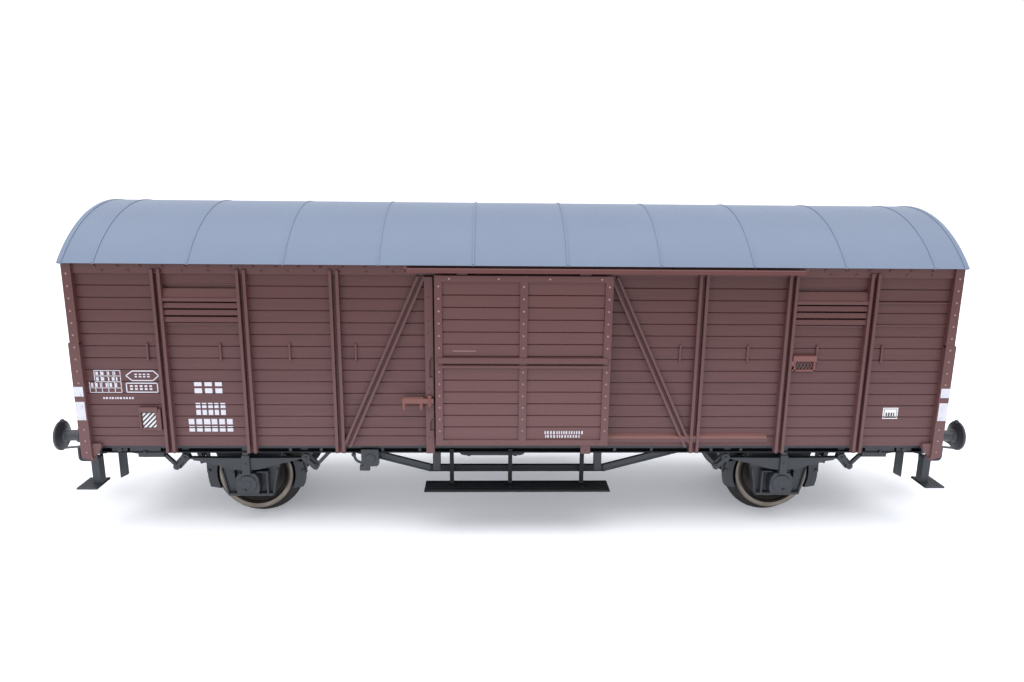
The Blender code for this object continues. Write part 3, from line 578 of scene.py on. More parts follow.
# height, first x, pitch, count and radius of each row of rivets along the eave
EAVE_RIVETS = ((39.9, -61.1, 3.055, 41, 0.21), (39.3, -57.2, 3.6, 34, 0.19))
POST_Z = (shell_low.z + 1.2, 39.55)
POST_OUT = 16.9
CORNER_OUT = 16.85
CORNER_STUD_X = 61.78
CORNER_STUD_ZS = [38.9 - PLANK * i for i in range(16)]
LOCK_POST_X = (-13.3, -12.1)
LOCK_POST_OUT = 17.0
VENT_XS = (-44.12, 44.12)
VENT_HALF = 5.08
VENT_Z = (32.03, 37.36)
EAVE_BEAM_Z = (38.88, 40.38)
EAVE_BEAM_OUT = 16.45


def arch_z(radius, y):
    return ROOF_CENTRE_Z + math.sqrt(radius * radius - y * y)


def arch(radius, half_width, steps):
    """(y, z) points of an arch about the roof's centre line."""
    reach = math.asin(half_width / radius)
    angles = [reach - 2 * reach * i / steps for i in range(steps + 1)]
    return [(radius * math.sin(a), ROOF_CENTRE_Z + radius * math.cos(a)) for a in angles]


def rectangle(across, up):
    """The four corners of an upright rectangle."""
    return [(across[0], up[0]), (across[1], up[0]), (across[1], up[1]), (across[0], up[1])]


def span(side, near, far):
    """A range on one end of the wagon, from its distances from the middle."""
    return sorted((side * near, side * far))


def both_ends(places):
    """Places along the right half of the wagon, given for both halves from left to right."""
    return [-x for x in places[::-1]] + [*places]


def sided(side, outline):
    """An outline that is written for the right end, on either end."""
    return [(side * x, *rest) for x, *rest in outline]


def about(x0, outline):
    """An outline that is written about its own middle, moved along the wagon."""
    return [(x0 + x, z) for x, z in outline]


def grooved(face, low, top, grooves, depth=0.2, half=0.085):
    """Points up a planked face, with a V between each two planks."""
    points = [(face, low)]
    for z in sorted(grooves):
        if low + half < z < top - half:
            points += [(face, z - half), (face - math.copysign(depth, face), z), (face, z + half)]
    return points + [(face, top)]


def channel_outline(half, foot, out, groove_half, groove_depth):
    """(x, y) outline of a U-channel that opens outwards."""
    floor = out - groove_depth
    return [
        (-half, foot), (half, foot), (half, out), (groove_half, out),
        (groove_half, floor), (-groove_half, floor), (-groove_half, out), (-half, out),
    ]


def make_sides():
    outer = grooved(WALL_OUT, SILL_Z, arch_z(FIT_R, WALL_OUT), GROOVES)
    inner = grooved(WALL_IN, SILL_Z, arch_z(FIT_R, WALL_IN), GROOVES)
    inner = [(WALL_IN + (0.12 if y < WALL_IN - 0.05 else 0.0), z) for y, z in inner]
    wall = prism_mesh(outer + inner[::-1], (-61.2, 61.2), "X")
    tools = [box_mesh(OPENING_X, (10, 20), OPENING_Z)]
    for x in VENT_XS:
        tools.append(box_mesh((x - VENT_HALF, x + VENT_HALF), (15.55, 17), VENT_Z))
    wall = carved(wall, *tools)
    shape = Shape().add(bevelled(wall, 0.035, 1, 50))
    pair("side_planks_{}", shape, BROWN, "body_shell")


END_HALF = 15.7
END_FRAME_X = (WALL_END - 0.1, WALL_END + 0.35)
END_POST_Y, END_POST_OUT = 5.5, 62.38
END_TIE_Y, END_TIE_HALF = 10.6, 0.55


def make_ends():
    """Planking, an arched beam under the roof, two posts, two riveted ties and a sill."""
    face = grooved(WALL_END, END_SILL_Z, 48.0, GROOVES + [38.84, 40.54, 42.24, 43.94])
    inner = [(WALL_END_IN, 48.0), (WALL_END_IN, END_SILL_Z)]
    planks = prism_mesh(face + inner, (-END_HALF, END_HALF), "Y")
    under_roof = [(-END_HALF, 10.0), (END_HALF, 10.0)] + arch(FIT_R, END_HALF, 40)
    planks = carved(planks, prism_mesh(under_roof, (59, 63), "X"), operation="INTERSECT")
    shape = Shape().add(planks)
    beam_outer = arch(FIT_R - 0.02, 16.0, 48)
    beam_inner = arch(FIT_R - 1.35, 15.9, 48)
    shape.prism(beam_outer + beam_inner[::-1], END_FRAME_X, "X", 0.05)
    for i in range(21):
        a = math.radians(-42 + 84 * i / 20)
        r = FIT_R - 0.7
        rivet = (END_FRAME_X[1], r * math.sin(a), ROOF_CENTRE_Z + r * math.cos(a))
        shape.rivet(rivet, 0.17, "+X")
    for y in (-END_POST_Y, END_POST_Y):
        outline = channel_outline(POST_HALF, END_FRAME_X[0], END_POST_OUT, 0.27, 0.5)
        turned_outline = [(v, u + y) for u, v in outline]
        shape.prism(turned_outline, (END_SILL_Z, 45.5), "Z", 0.05)
    for y in (-END_TIE_Y, END_TIE_Y):
        tie_y = (y - END_TIE_HALF, y + END_TIE_HALF)
        shape.box(END_FRAME_X, tie_y, (END_SILL_Z, 41.6), 0.05)
        for z in [g + PLANK / 2 for g in GROOVES[:13]]:
            shape.rivet((END_FRAME_X[1], y, z), 0.15, "+X")
    shape.box((WALL_END - 0.1, WALL_END + 0.4), (-15.6, 15.6), (END_SILL_Z, 15.5), 0.06)
    twins("end_planks_{}", shape, BROWN, "body_shell", sides=ENDS[::-1])


def make_framing():
    """Posts, diagonals, eave beam, corner posts and the small ironwork of one side."""
    shape = Shape()
    studs = Shape()
    outline = channel_outline(POST_HALF, WALL_OUT - 0.1, POST_OUT, 0.27, 0.75)
    for x in both_ends(POST_XS):
        shape.add(bevelled(skewed_mesh(outline, (x, POST_Z[0]), (x, POST_Z[1])), 0.05))
    outline = channel_outline(0.64, WALL_OUT - 0.1, BRACE_OUT, 0.26, 0.65)
    for foot, head in BRACES:
        brace = skewed_mesh(outline, (foot, BRACE_Z[0]), (head, BRACE_Z[1]))
        shape.add(bevelled(brace, 0.05))
    shape.box((-62.3, 62.3), (WALL_OUT - 0.1, EAVE_BEAM_OUT), EAVE_BEAM_Z, 0.06)
    for z, first, pitch, count, size in EAVE_RIVETS:
        for i in range(count):
            shape.rivet((first + pitch * i, EAVE_BEAM_OUT, z), size)
    for side in (-1, 1):
        add_corner_post(shape, studs, side)
    for x in TIE_XS:
        shape.box((x - 0.15, x + 0.15), (WALL_OUT - 0.05, WALL_OUT + 0.28), (26.6, 29.14), 0.05)
        shape.rivet((x, WALL_OUT + 0.2, 26.85), 0.2)
        shape.rivet((x, WALL_OUT + 0.2, 28.9), 0.2)
    for low, high in ((31.9, 32.15), (35.18, 35.43)):
        shape.box((50.5, 61.3), (WALL_OUT - 0.05, WALL_OUT + 0.2), (low, high), 0.05)
    for x in VENT_XS:
        edges = (x - VENT_HALF - 0.03, x + VENT_HALF + 0.03)
        shape.box(edges, (WALL_OUT - 0.3, WALL_OUT + 0.12), (31.7, VENT_Z[0]), 0.04)
        shape.box(edges, (WALL_OUT - 0.3, WALL_OUT + 0.08), (VENT_Z[1], 37.52), 0.03)
    depth = (WALL_OUT - 0.1, LOCK_POST_OUT)
    post = prism_mesh(rectangle(LOCK_POST_X, (13.0, 38.8)), depth, "Y")
    slots = []
    for low, high in ((24.4, 27.4), (16.5, 18.3)):
        keyhole = [(-12.65, low), (-11.9, low), (-11.9, high), (-12.4, high), (-12.65, high - 0.6)]
        slots.append(prism_mesh(keyhole, (16.7, 18), "Y"))
    shape.add(bevelled(carved(post, *slots), 0.05))
    for z in (36.0, 32.6, 30.9, 22.9, 19.4, 15.4):
        shape.rivet((-12.85, LOCK_POST_OUT, z), 0.14)
    pair("side_framing_{}", shape, FRAME_BROWN, "body_shell")
    # the corner studs take the light rivet brown: painted highlights
    pair("corner_studs_{}", studs, HIGHLIT_RIVET_BROWN)


def add_corner_post(shape, studs, side):
    """An angle post, thicker and pointed at its foot, with a gusset that joins it to the wall."""
    outer, stepped, inner = 62.4, 62.62, 61.12
    foot, change_z, top = shell_low.z, 29.0, 40.36
    front = CORNER_OUT + 0.04
    upper = rectangle((inner, outer), (change_z, top))
    shape.prism(sided(side, upper), (15.6, CORNER_OUT), "Y", 0.07)
    lower = [
        (inner, 12.6), (inner - 0.1, foot + 0.35), (inner + 0.08, foot - 0.1),
        (inner + 0.4, foot + 0.25), (stepped - 0.1, foot + 0.45), (stepped, 12.4),
        (stepped, change_z + 0.2), (inner, change_z + 0.2),
    ]
    shape.prism(sided(side, lower), (15.55, front), "Y", 0.05)
    wall = inner - 1.3
    gusset = [
        (inner + 0.3, foot + 0.5), (inner - 0.1, foot + 0.5), (inner - 0.35, 12.5),
        (wall, SILL_Z), (wall, SILL_Z + 0.5), (inner + 0.3, SILL_Z + 0.5),
    ]
    shape.prism(sided(side, gusset), (15.75, WALL_OUT + 0.5), "Y", 0.05)
    for i, z in enumerate(CORNER_STUD_ZS):
        above = z > change_z + 0.1
        studs.rivet((side * CORNER_STUD_X, (CORNER_OUT if above else front) - 0.02, z), 0.17)
        if i < len(CORNER_STUD_ZS) - 1:
            studs.rivet((side * (outer if above else stepped), 16.2, z), 0.14, OUTWARD[side])


def make_vents():
    for x, corner in zip(VENT_XS, CORNERS.values()):
        shape = Shape()
        left, right = x - VENT_HALF, x + VENT_HALF
        shape.box((left, right), (15.58, 15.75), (32.05, 37.33), 0.0)
        cap = [
            (15.7, 35.12), (16.74, 35.12), (16.8, 35.24), (16.8, 35.6), (16.6, 35.68), (16.5, 36.5),
            (16.25, 36.86), (15.7, 36.95),
        ]
        shape.prism(cap, (left, right), "X", 0.04)
        for z in (32.17, 33.16, 34.14):
            slat = [
                (15.7, z + 0.05), (16.6, z), (16.7, z + 0.1), (16.55, z + 0.74), (15.7, z + 0.84)
            ]
            shape.prism(slat, (left, right), "X", 0.04)
        pair("vent_louvre_{}", shape, FRAME_BROWN, "vent_{}", sides=corner)


# ---------------------------------------------------------------- roof


SEAM_XS = (6.5, 19.5, 32.4, 45.3, 57.8, 62.2)


def make_roof():
    """Arched sheet with folded standing seams. Its eaves are cut off level underneath."""
    half = 17.45
    length = roof_high.x
    eave_z = arch_z(ROOF_R, half)
    inner_r = ROOF_R - 0.7
    inner_y = math.sqrt(inner_r ** 2 - (eave_z - ROOF_CENTRE_Z) ** 2)
    sheet = arch(ROOF_R, half, 72) + arch(inner_r, inner_y, 72)[::-1]
    shape = Shape()
    shape.prism(sheet, (-length + 0.02, length - 0.02), "X", 0.05, 1)
    for x in both_ends(SEAM_XS):
        wide = 0.13 if abs(x) < 60 else 0.28
        proud = 0.12 if abs(x) < 10 else 0.08
        seam = arch(ROOF_R + proud, half - 0.03, 72) + arch(ROOF_R - 0.15, half - 0.1, 72)[::-1]
        shape.prism(seam, (x - wide, x + wide), "X", 0.05, 1)
    piece("roof_sheet", shape, ROOF_GREY, "roof", angle=40)


# ---------------------------------------------------------------- doors and rails

door_low, door_high = limits("door_near")
DOOR_X = (door_low.x, door_high.x)
DOOR_BACK = -door_high.y
DOOR_OUT = -door_low.y
DOOR_FACE = DOOR_OUT - 0.3
DOOR_Z = (14.5, 39.12)
STILES = ((DOOR_X[0], -10.78), (-0.05, 1.06), (11.75, DOOR_X[1]))
DOOR_GROOVES = [36.36 - 1.735 * n for n in range(12)]


def make_doors():
    shape = Shape()
    face = grooved(DOOR_FACE, DOOR_Z[0], DOOR_Z[1], DOOR_GROOVES, 0.17)
    back = grooved(DOOR_BACK, DOOR_Z[0], DOOR_Z[1], [])
    panel = prism_mesh(face + back[::-1], (DOOR_X[0] + 0.03, DOOR_X[1] - 0.03), "X")
    shape.add(bevelled(panel, 0.03, 1, 60))
    for low, high in STILES:
        upright = (DOOR_Z[0] + 0.01, DOOR_Z[1] - 0.01)
        shape.box((low, high), (DOOR_BACK + 0.05, DOOR_OUT), upright, 0.07, 2)
    across = (DOOR_X[0] + 0.02, DOOR_X[1] - 0.02)
    shape.box(across, (DOOR_FACE - 0.1, DOOR_OUT - 0.02), (38.15, DOOR_Z[1] - 0.02), 0.06)
    shape.box(across, (DOOR_FACE - 0.1, DOOR_OUT - 0.02), (DOOR_Z[0] + 0.02, 15.35), 0.06)
    # a stiffener of two bars across the middle: a fat round one over a flat one
    left, right = DOOR_X[0] + 0.3, DOOR_X[1] - 0.3
    shape.box((left, right), (DOOR_FACE - 0.1, DOOR_OUT + 0.32), (26.66, 27.56), 0.3, 4)
    shape.box((left + 0.1, right - 0.1), (DOOR_FACE - 0.1, DOOR_OUT + 0.2), (25.98, 26.48), 0.16, 3)
    studs = Shape()
    for x in (DOOR_X[0] + 0.6, 0.5, DOOR_X[1] - 0.55):
        for i in range(14):
            z = 37.6 - 1.735 * i
            if abs(z - 26.8) > 1.0 and z > 15.6:
                studs.rivet((x, DOOR_OUT - 0.02, z), 0.17)
    for x in (-9.8, -3.0, 4.05, 11.2):
        studs.rivet((x, DOOR_OUT - 0.03, 38.65), 0.17)
        shape.rivet((x, DOOR_OUT - 0.02, 14.95), 0.14)
    # a painted glint: a thin strip in the light rivet brown across the upper left of the door
    studs.box((-9.4, -6.1), (DOOR_FACE - 0.05, DOOR_FACE + 0.05), (28.38, 28.5), 0.02)
    for x in (-8.0, 9.0):
        shape.box((x - 0.8, x + 0.8), (DOOR_BACK + 0.15, DOOR_FACE), (38.8, 39.5), 0.06)
    shape.box((9.0, 10.4), (DOOR_BACK + 0.1, DOOR_FACE - 0.05), (13.15, 14.7), 0.05)
    shape.rivet((9.7, DOOR_FACE - 0.05, 13.7), 0.2)
    # the door's studs and strip take the light rivet brown as painted highlights
    pair("door_{}_studs", studs, HIGHLIT_RIVET_BROWN, body="door_{}")
    pair("door_{}_panel", shape, FRAME_BROWN, "door_{}", "door_{}")


def make_top_rail():
    low, high = limits("door_top_rail_near")
    out = -low.y - 0.005
    ends = (low.x, high.x)
    z0, z1 = low.z, high.z
    shape = Shape()
    web = [
        (out - 0.28, z0), (out, z0), (out, z1 - 0.32), (out - 0.12, z1 - 0.2),
        (out - 0.28, z1 - 0.2),
    ]
    shape.prism(web, ends, "X", 0.05)
    shape.box((ends[0] + 0.05, ends[1] - 0.05), (-high.y, out - 0.1), (39.58, 39.84), 0.04)
    shape.box((ends[0], ends[0] + 0.45), (out - 0.3, out), (z0, z1), 0.08)
    shape.box((ends[1] - 0.3, ends[1]), (out - 0.3, out), (z0, z1), 0.08)
    for i in range(9):
        x = ends[0] + 3 + (ends[1] - ends[0] - 6) * i / 8
        shape.box((x - 0.35, x + 0.35), (WALL_OUT, out - 0.2), (39.5, 39.62), 0.03)
    pair("door_rail_{}", shape, RAIL_BROWN, "door_top_rail_{}")


def make_lower_rail():
    """A flat guide under the door, and the lip that stands on it in a lighter red-brown: a painted
    highlight where its sloping top catches light from above.
    """
    low, high = limits("door_lower_rail_near")
    shape = Shape()
    out = 16.72
    shape.prism(rectangle((15.9, out), (low.z, 15.25)), (low.x, high.x), "X", 0.05, 2)
    pair("door_guide_{}", shape, BROWN, "door_lower_rail_{}")
    shape = Shape()
    section = [
        (15.9, 15.22), (out + 0.02, 15.22), (out + 0.02, 15.4), (out - 0.12, 15.55),
        (16.05, high.z), (15.9, high.z),
    ]
    shape.prism(section, (low.x, high.x - 0.1), "X", 0.05, 2)
    pair("door_guide_{}_lip", shape, LIT_LIP_BROWN, "door_lower_rail_{}")


def make_latch():
    low = limits("door_latch_near")[0]
    shape = Shape()
    shape.box((low.x, -12.1), (17.28, 17.62), (20.72, 21.45), 0.1, 3)
    shape.box((low.x + 0.15, -13.6), (17.2, 17.5), (21.35, 21.6), 0.05)
    shape.box((-13.0, -12.4), (17.03, 17.45), (20.2, 21.85), 0.07)
    shape.rivet((-12.7, 17.62, 21.05), 0.2)
    for x in (low.x + 0.25, -13.9):
        shape.box((x - 0.2, x + 0.2), (17.28, 17.58), (19.72, 20.9), 0.07)
    pair("door_latch_{}_bar", shape, LATCH_BROWN, "door_latch_{}")


# ---------------------------------------------------------------- card frame and paper holder


LABEL_BACK = WALL_OUT - 0.1


def make_card_frame():
    """A framed card with a hatched stamp, low on the left bay."""
    shape = Shape()
    shape.boxes(LABEL_BACK, [
        ((-54.05, -50.95), 16.22, (16.35, 19.85), 0.03),
        ((-53.95, -51.35), 16.75, (19.1, 19.85), 0.08, 2),
        ((-51.7, -50.95), 16.65, (16.35, 19.55), 0.08, 2),
        ((-54.05, -51.45), 16.42, (16.35, 16.63), 0.05),
        ((-54.13, -53.85), 16.42, (16.35, 19.35), 0.05),
    ])
    pair("card_frame_{}_box", shape, FRAME_BROWN, "card_frame_{}")

    card = Shape().box((-53.83, -51.73), (16.2, 16.27), (16.67, 19.0), 0.01)
    pair("card_{}_sheet", card, INK_DARK)
    stripes = Shape()
    left, right, bottom, top = -53.65, -51.72, 16.72, 18.88
    step, wide = 0.66, 0.34
    rise = top - bottom
    for i in range(-4, 5):
        shift = left + i * step
        band = [
            (shift, bottom), (shift + wide, bottom), (shift + wide + rise, top), (shift + rise, top)
        ]
        clipped = clip_band(band, left, right)
        if len(clipped) > 2:
            stripes.prism(clipped, (16.24, 16.31), "Y", 0.0)
    pair("card_{}_hatch", stripes, PLATE_WHITE)


def make_paper_holder():
    """A lidded box with a wire mesh front, on the right bay."""
    shape = Shape()
    shape.boxes(LABEL_BACK, [
        ((39.05, 42.6), 16.2, (25.3, 27.7), 0.03),
        ((39.2, 42.65), 16.83, (26.85, 27.7), 0.1, 2),
        ((39.2, 42.6), 16.6, (25.3, 25.62), 0.05),
        *(((x - 0.15, x + 0.15), 16.6, (25.3, 26.9), 0.04) for x in (39.6, 42.45)),
        ((38.95, 39.4), 16.9, (26.2, 26.9), 0.05),
    ])
    pair("paper_holder_{}_box", shape, HOLDER_BROWN, "paper_holder_{}")
    left, right = 39.75, 42.3
    bottom, top = 25.6, 26.87
    back = Shape().box((left, right), (16.15, 16.25), (bottom, top), 0.0)
    pair("paper_holder_{}_back", back, INK_DARK)
    wires = Shape()
    count = 5
    pitch = (right - left) / count
    for i in range(count):
        x = left + pitch * i
        wires.tube([(x, 16.45, bottom), (x + pitch, 16.45, top)], 0.045, 6)
        wires.tube([(x + pitch, 16.4, bottom), (x, 16.4, top)], 0.045, 6)
    pair("paper_holder_{}_mesh", wires, HOLDER_BROWN)


def clip_band(points, left, right):
    """The part of a sloping band between two upright lines."""
    for bound, keep_right in ((left, True), (right, False)):
        kept = []
        for (x0, z0), (x1, z1) in zip(points, points[1:] + points[:1]):
            in0 = x0 >= bound if keep_right else x0 <= bound
            in1 = x1 >= bound if keep_right else x1 <= bound
            if in0:
                kept.append((x0, z0))
            if in0 != in1:
                t = (bound - x0) / (x1 - x0)
                kept.append((bound, z0 + (z1 - z0) * t))
        points = kept
        if len(points) < 3:
            return []
    return points


# ---------------------------------------------------------------- underframe

axle_low, axle_high = limits("axle_left")
AXLE_X = -(axle_low.x + axle_high.x) / 2
AXLE_Z = (axle_low.z + axle_high.z) / 2
DECK_TOP = 14.1
DECK_LOW = 13.1
SOLE_LOW = 12.2
SOLE_Y = (13.2, 14.6)
SOLE_WEB_Y = SOLE_Y[1] - 0.75
HEAD_X = (60.9, 62.05)
HEAD_RIVETS = ((8.2, 11.9), (11.8, 11.9), (8.2, 14.2), (11.8, 14.2), (2.6, 14.1), (5.4, 14.1))
RIB_XS = (14.5, 20.0, 29.0, 33.5, 52.2, 57.0)
WHEEL_Y = 8.6
WELL_HALF_X, WELL_HALF_Y = 4.8, 1.9


def deck_mesh():
    """The deck, with a well over each wheel."""
    wells = []
    for side in (-1, 1):
        for y in (-WHEEL_Y, WHEEL_Y):
            x = side * AXLE_X
            well_x, well_y = (x - WELL_HALF_X, x + WELL_HALF_X), (y - WELL_HALF_Y, y + WELL_HALF_Y)
            wells.append(box_mesh(well_x, well_y, (10, 20)))
    deck = carved(box_mesh((-60.6, 60.6), (-15.0, 15.0), (DECK_LOW, DECK_TOP)), *wells)
    return bevelled(deck, 0.05)


def make_sole_bars():
    """A channel along each side, open outwards."""
    beam = Shape()
    web = SOLE_WEB_Y
    sole = [
        (SOLE_Y[0], SOLE_LOW), (SOLE_Y[1], SOLE_LOW), (SOLE_Y[1], SOLE_LOW + 0.2),
        (web, SOLE_LOW + 0.3), (web, DECK_LOW + 0.05), (SOLE_Y[0], DECK_LOW + 0.05),
    ]
    beam.prism(sole, (-61.0, 61.0), "X", 0.03)
    # the sole bar takes the near black as painted shade for the shadow under the wall
    pair("sole_bar_{}", beam, SHADOW_BLACK, "underframe")


def add_side_gear(side_shape):
    """Ribs, bearers, stays, handles and rivets of one side, at both of its ends."""
    bearer_z = (SOLE_LOW + 0.1, DECK_LOW + 0.1)
    for x in both_ends(RIB_XS):
        out = (SOLE_WEB_Y - 0.05, SOLE_Y[1] - 0.1)
        side_shape.box((x - 0.22, x + 0.22), out, (SOLE_LOW + 0.15, DECK_LOW + 0.05), 0.04)
    for side in (-1, 1):
        plate = [
            (59.4, 13.05), (59.4, 12.35), (57.6, 12.35), (55.7, 12.0), (55.7, 11.5), (52.0, 11.5),
            (52.0, 13.05),
        ]
        side_shape.prism(sided(side, plate), (13.9, 14.5), "Y", 0.06)
        side_shape.rod((side * 58.2, 14.3, 12.85), (side * 58.2, 14.95, 12.85), 0.42, 14, 0.1)
        side_shape.rod((side * 54.6, 14.3, 12.3), (side * 54.6, 14.8, 12.3), 0.25, 10, 0.06)
        stay = sided(side, [(58.8, 13.2), (58.8, 7.7), (59.9, 7.15), (59.9, 13.2)])
        side_shape.prism(stay, (11.45, 11.95), "Y", 0.06)
        for x in (side * 13.0, side * 27.0, side * 53.0):
            side_shape.box((x - 0.6, x + 0.6), (0.0, SOLE_Y[0] + 0.2), bearer_z, 0.05)
        side_shape.box(span(side, 44.5, 60.9), (3.2, 4.0), bearer_z, 0.05)
        handle = [(61.9, 12.6), (65.05, 12.6), (65.05, 10.45), (61.85, 10.45), (61.85, 11.9)]
        path = rounded_path([(side * x, 12.9, z) for x, z in handle], 0.5)
        side_shape.tube(path, 0.24, 10)
        side_shape.box(span(side, 61.6, 62.15), (12.5, 13.3), (11.6, 12.9), 0.06)
        for y, z in HEAD_RIVETS:
            side_shape.rivet((side * HEAD_X[1], y, z), 0.16, OUTWARD[side])
    side_shape.box((-44.0, 44.0), (3.2, 3.8), (SOLE_LOW + 0.2, DECK_LOW + 0.1), 0.05)


def add_headstocks(shape):
    """An end beam with its draw hook plate, and the boss that the coupler swings on."""
    for side in (-1, 1):
        head = [
            (-14.65, 14.6), (-14.65, 12.4), (-13.4, 11.62), (13.4, 11.62), (14.65, 12.4),
            (14.65, 14.6),
        ]
        shape.prism(head, span(side, HEAD_X[0], HEAD_X[1]), "X", 0.08, 2)
        boss = side * 56.5
        shape.rod((boss, 0, 10.95), (boss, 0, DECK_LOW + 0.2), 1.85, 32, 0.12)
        shape.box(span(side, 58.0, 61.0), (-2.6, 2.6), (12.3, DECK_LOW + 0.1), 0.06)
        hook_x = side * HEAD_X[1]
        plate_x = sorted((hook_x - side * 0.1, hook_x + side * 0.25))
        shape.box(plate_x, (-1.5, 1.5), (12.0, 14.2), 0.08)


def make_underframe():
    make_sole_bars()
    shape = Shape().add(deck_mesh())
    side_shape = Shape()
    add_side_gear(side_shape)
    side_shape.both_ways()
    shape.extend(side_shape.points, side_shape.faces)
    add_headstocks(shape)
    for x in range(-56, 57, 8):
        if abs(abs(x) - AXLE_X) > 6:
            shape.box((x - 0.2, x + 0.2), (-13.2, 13.2), (DECK_LOW - 0.2, DECK_LOW + 0.1), 0.04)
    piece("underframe_chassis", shape, FRAME_BLACK, "underframe")


def make_floor():
    low, high = limits("floor_insert")
    shape = Shape()
    rim_z = (low.z, high.z - 0.35)
    rim_x, rim_y = 56.0, 13.0
    shape.box((low.x, high.x), (low.y, -rim_y), rim_z, 0.03)
    shape.box((low.x, high.x), (rim_y, high.y), rim_z, 0.03)
    shape.box((low.x, -rim_x), (-rim_y - 0.05, rim_y + 0.05), rim_z, 0.03)
    shape.box((rim_x, high.x), (-rim_y - 0.05, rim_y + 0.05), rim_z, 0.03)
    random.seed(7)
    count = 62
    pitch = (high.x - low.x) / count
    for i in range(count):
        x = low.x + pitch * i
        drop = random.uniform(0.0, 0.05)
        plank_x = (x + 0.04, x + pitch - 0.04)
        shape.box(plank_x, (low.y, high.y), (high.z - 0.5, high.z - drop), 0.04)
    piece("floor_planks", shape, FLOOR_WOOD, "floor_insert")


# ---------------------------------------------------------------- axle guards, springs and brakes

def lens_leaf(x0, half, top, thick, sag):
    """One spring leaf from the side: flat on top, pointed at its ends, it bows down between."""
    steps = 14
    upper = []
    lower = []
    for i in range(steps + 1):
        t = -1 + 2 * i / steps
        bow = 1 - t * t
        upper.append((x0 + half * t, top - sag * bow))
        lower.append((x0 + half * t, top - 0.12 - (sag + thick) * bow))
    return upper + lower[::-1]


def add_guard_plate(shape, x0):
    """A plate with two windows and raised edges, and the keep across its foot."""
    flank = [(5.3, 13.0), (4.3, 8.9), (3.45, 4.85), (3.2, 4.45)]
    plate = about(x0, sided(-1, flank) + flank[::-1])
    windows = []
    for dx in (-1, 1):
        upper = sided(dx, [(1.4, 11.5), (3.9, 11.5), (4.3, 12.3), (1.4, 12.3)])
        windows.append(prism_mesh(about(x0, upper), (10, 14), "Y"))
    shape.add(bevelled(carved(prism_mesh(plate, (11.35, 12.55), "Y"), *windows), 0.08))
    for dx in (-1, 1):
        edge = sided(dx, [(3.2, 4.85), (3.45, 4.85), (4.3, 8.9), (4.05, 8.9)])
        shape.prism(about(x0, edge), (12.4, 12.85), "Y", 0.05)
    shape.box((x0 - 3.3, x0 + 3.3), (12.3, 13.3), (4.85, 5.2), 0.06)


def add_axle_box(shape, x0, side):
    """The box with its cover, bolts and horn guides."""
    box = [
        (-1.55, 5.5), (1.55, 5.5), (1.75, 6.3), (1.6, 8.0), (1.1, 8.7), (-1.1, 8.7), (-1.6, 8.0),
        (-1.75, 6.3),
    ]
    shape.prism(about(x0, box), (12.4, 14.1), "Y", 0.18, 2)
    cover = [(0, 0), (1.42, 0), (1.42, 0.2), (1.3, 0.34), (0.6, 0.4), (0.55, 0.46), (0, 0.48)]
    box_z = AXLE_Z + 0.1
    shape.disc(cover, (x0, 13.93, box_z), (0, 1, 0), 32)
    shape.rivet((x0 + side * 0.4, 14.42, box_z - 0.95), 0.24)
    for angle in (40, 140, 220, 320):
        a = math.radians(angle)
        shape.rivet((x0 + 1.05 * math.cos(a), 14.26, box_z + 1.05 * math.sin(a)), 0.14)
    inward = -side
    rail_in = x0 + inward * 2.75
    shape.box(sorted((rail_in - 0.13, rail_in + 0.13)), (12.5, 13.55), (5.2, 8.85), 0.05)
    shape.box(sorted((x0 + inward * 1.2, rail_in)), (12.5, 13.55), (8.6, 8.85), 0.05)
    rail_out = x0 - inward * 2.15
    shape.box(sorted((rail_out - 0.12, rail_out + 0.12)), (12.5, 13.45), (7.7, 8.7), 0.05)


def add_leaf_spring(shape, x0):
    """A fat lens of five leaves, held by a buckle."""
    for i in range(5):
        leaf = lens_leaf(x0, 9.0 - 1.3 * i, 11.3 - 0.3 * i, 0.42 + 0.02 * i, 0.08 + 0.03 * i)
        shape.prism(leaf, (13.4 + 0.02 * i, 14.25 - 0.02 * i), "Y", 0.03)
    shape.box((x0 - 0.58, x0 + 0.62), (13.0, 14.52), (8.6, 11.7), 0.1, 2)
    shape.box((x0 - 0.45, x0 + 0.45), (13.6, 14.4), (11.5, 12.95), 0.08)
    shape.rivet((x0, 14.5, 10.4), 0.2)


def add_shackles(shape, x0):
    """At each end an eye, a thick link down to the lower pin and a thin stay up to the sole."""
    for dx in (-1, 1):
        eye = (x0 + dx * 8.85, 11.3)
        low = (x0 + dx * 10.2, 9.85)
        top = (x0 + dx * 12.6, 12.4)
        shape.rod((eye[0], 13.2, eye[1]), (eye[0], 14.4, eye[1]), 0.66, 18, 0.08)
        shape.rod((low[0], 13.3, low[1]), (low[0], 14.3, low[1]), 0.5, 18, 0.08)
        shape.add(bevelled(bar_mesh(eye, low, 0.62, (13.45, 13.95)), 0.07))
        shape.add(bevelled(bar_mesh(eye, low, 0.2, (13.9, 14.35)), 0.06))
        shape.add(bevelled(bar_mesh(low, top, 0.24, (13.5, 14.0)), 0.06))
        shape.add(bevelled(bar_mesh((eye[0] - dx * 0.2, 12.9), eye, 0.5, (13.4, 14.1)), 0.06))
        shape.rivet((eye[0], 14.38, eye[1]), 0.3)
        shape.rivet((low[0], 14.28, low[1]), 0.26)


def make_axle_guard(side):
    x0 = side * AXLE_X
    shape = Shape()
    add_guard_plate(shape, x0)
    add_axle_box(shape, x0, side)
    add_leaf_spring(shape, x0)
    add_shackles(shape, x0)
    pair("spring_gear_{}", shape, FRAME_BLACK, "axle_guard_{}", sides=CORNERS[side])


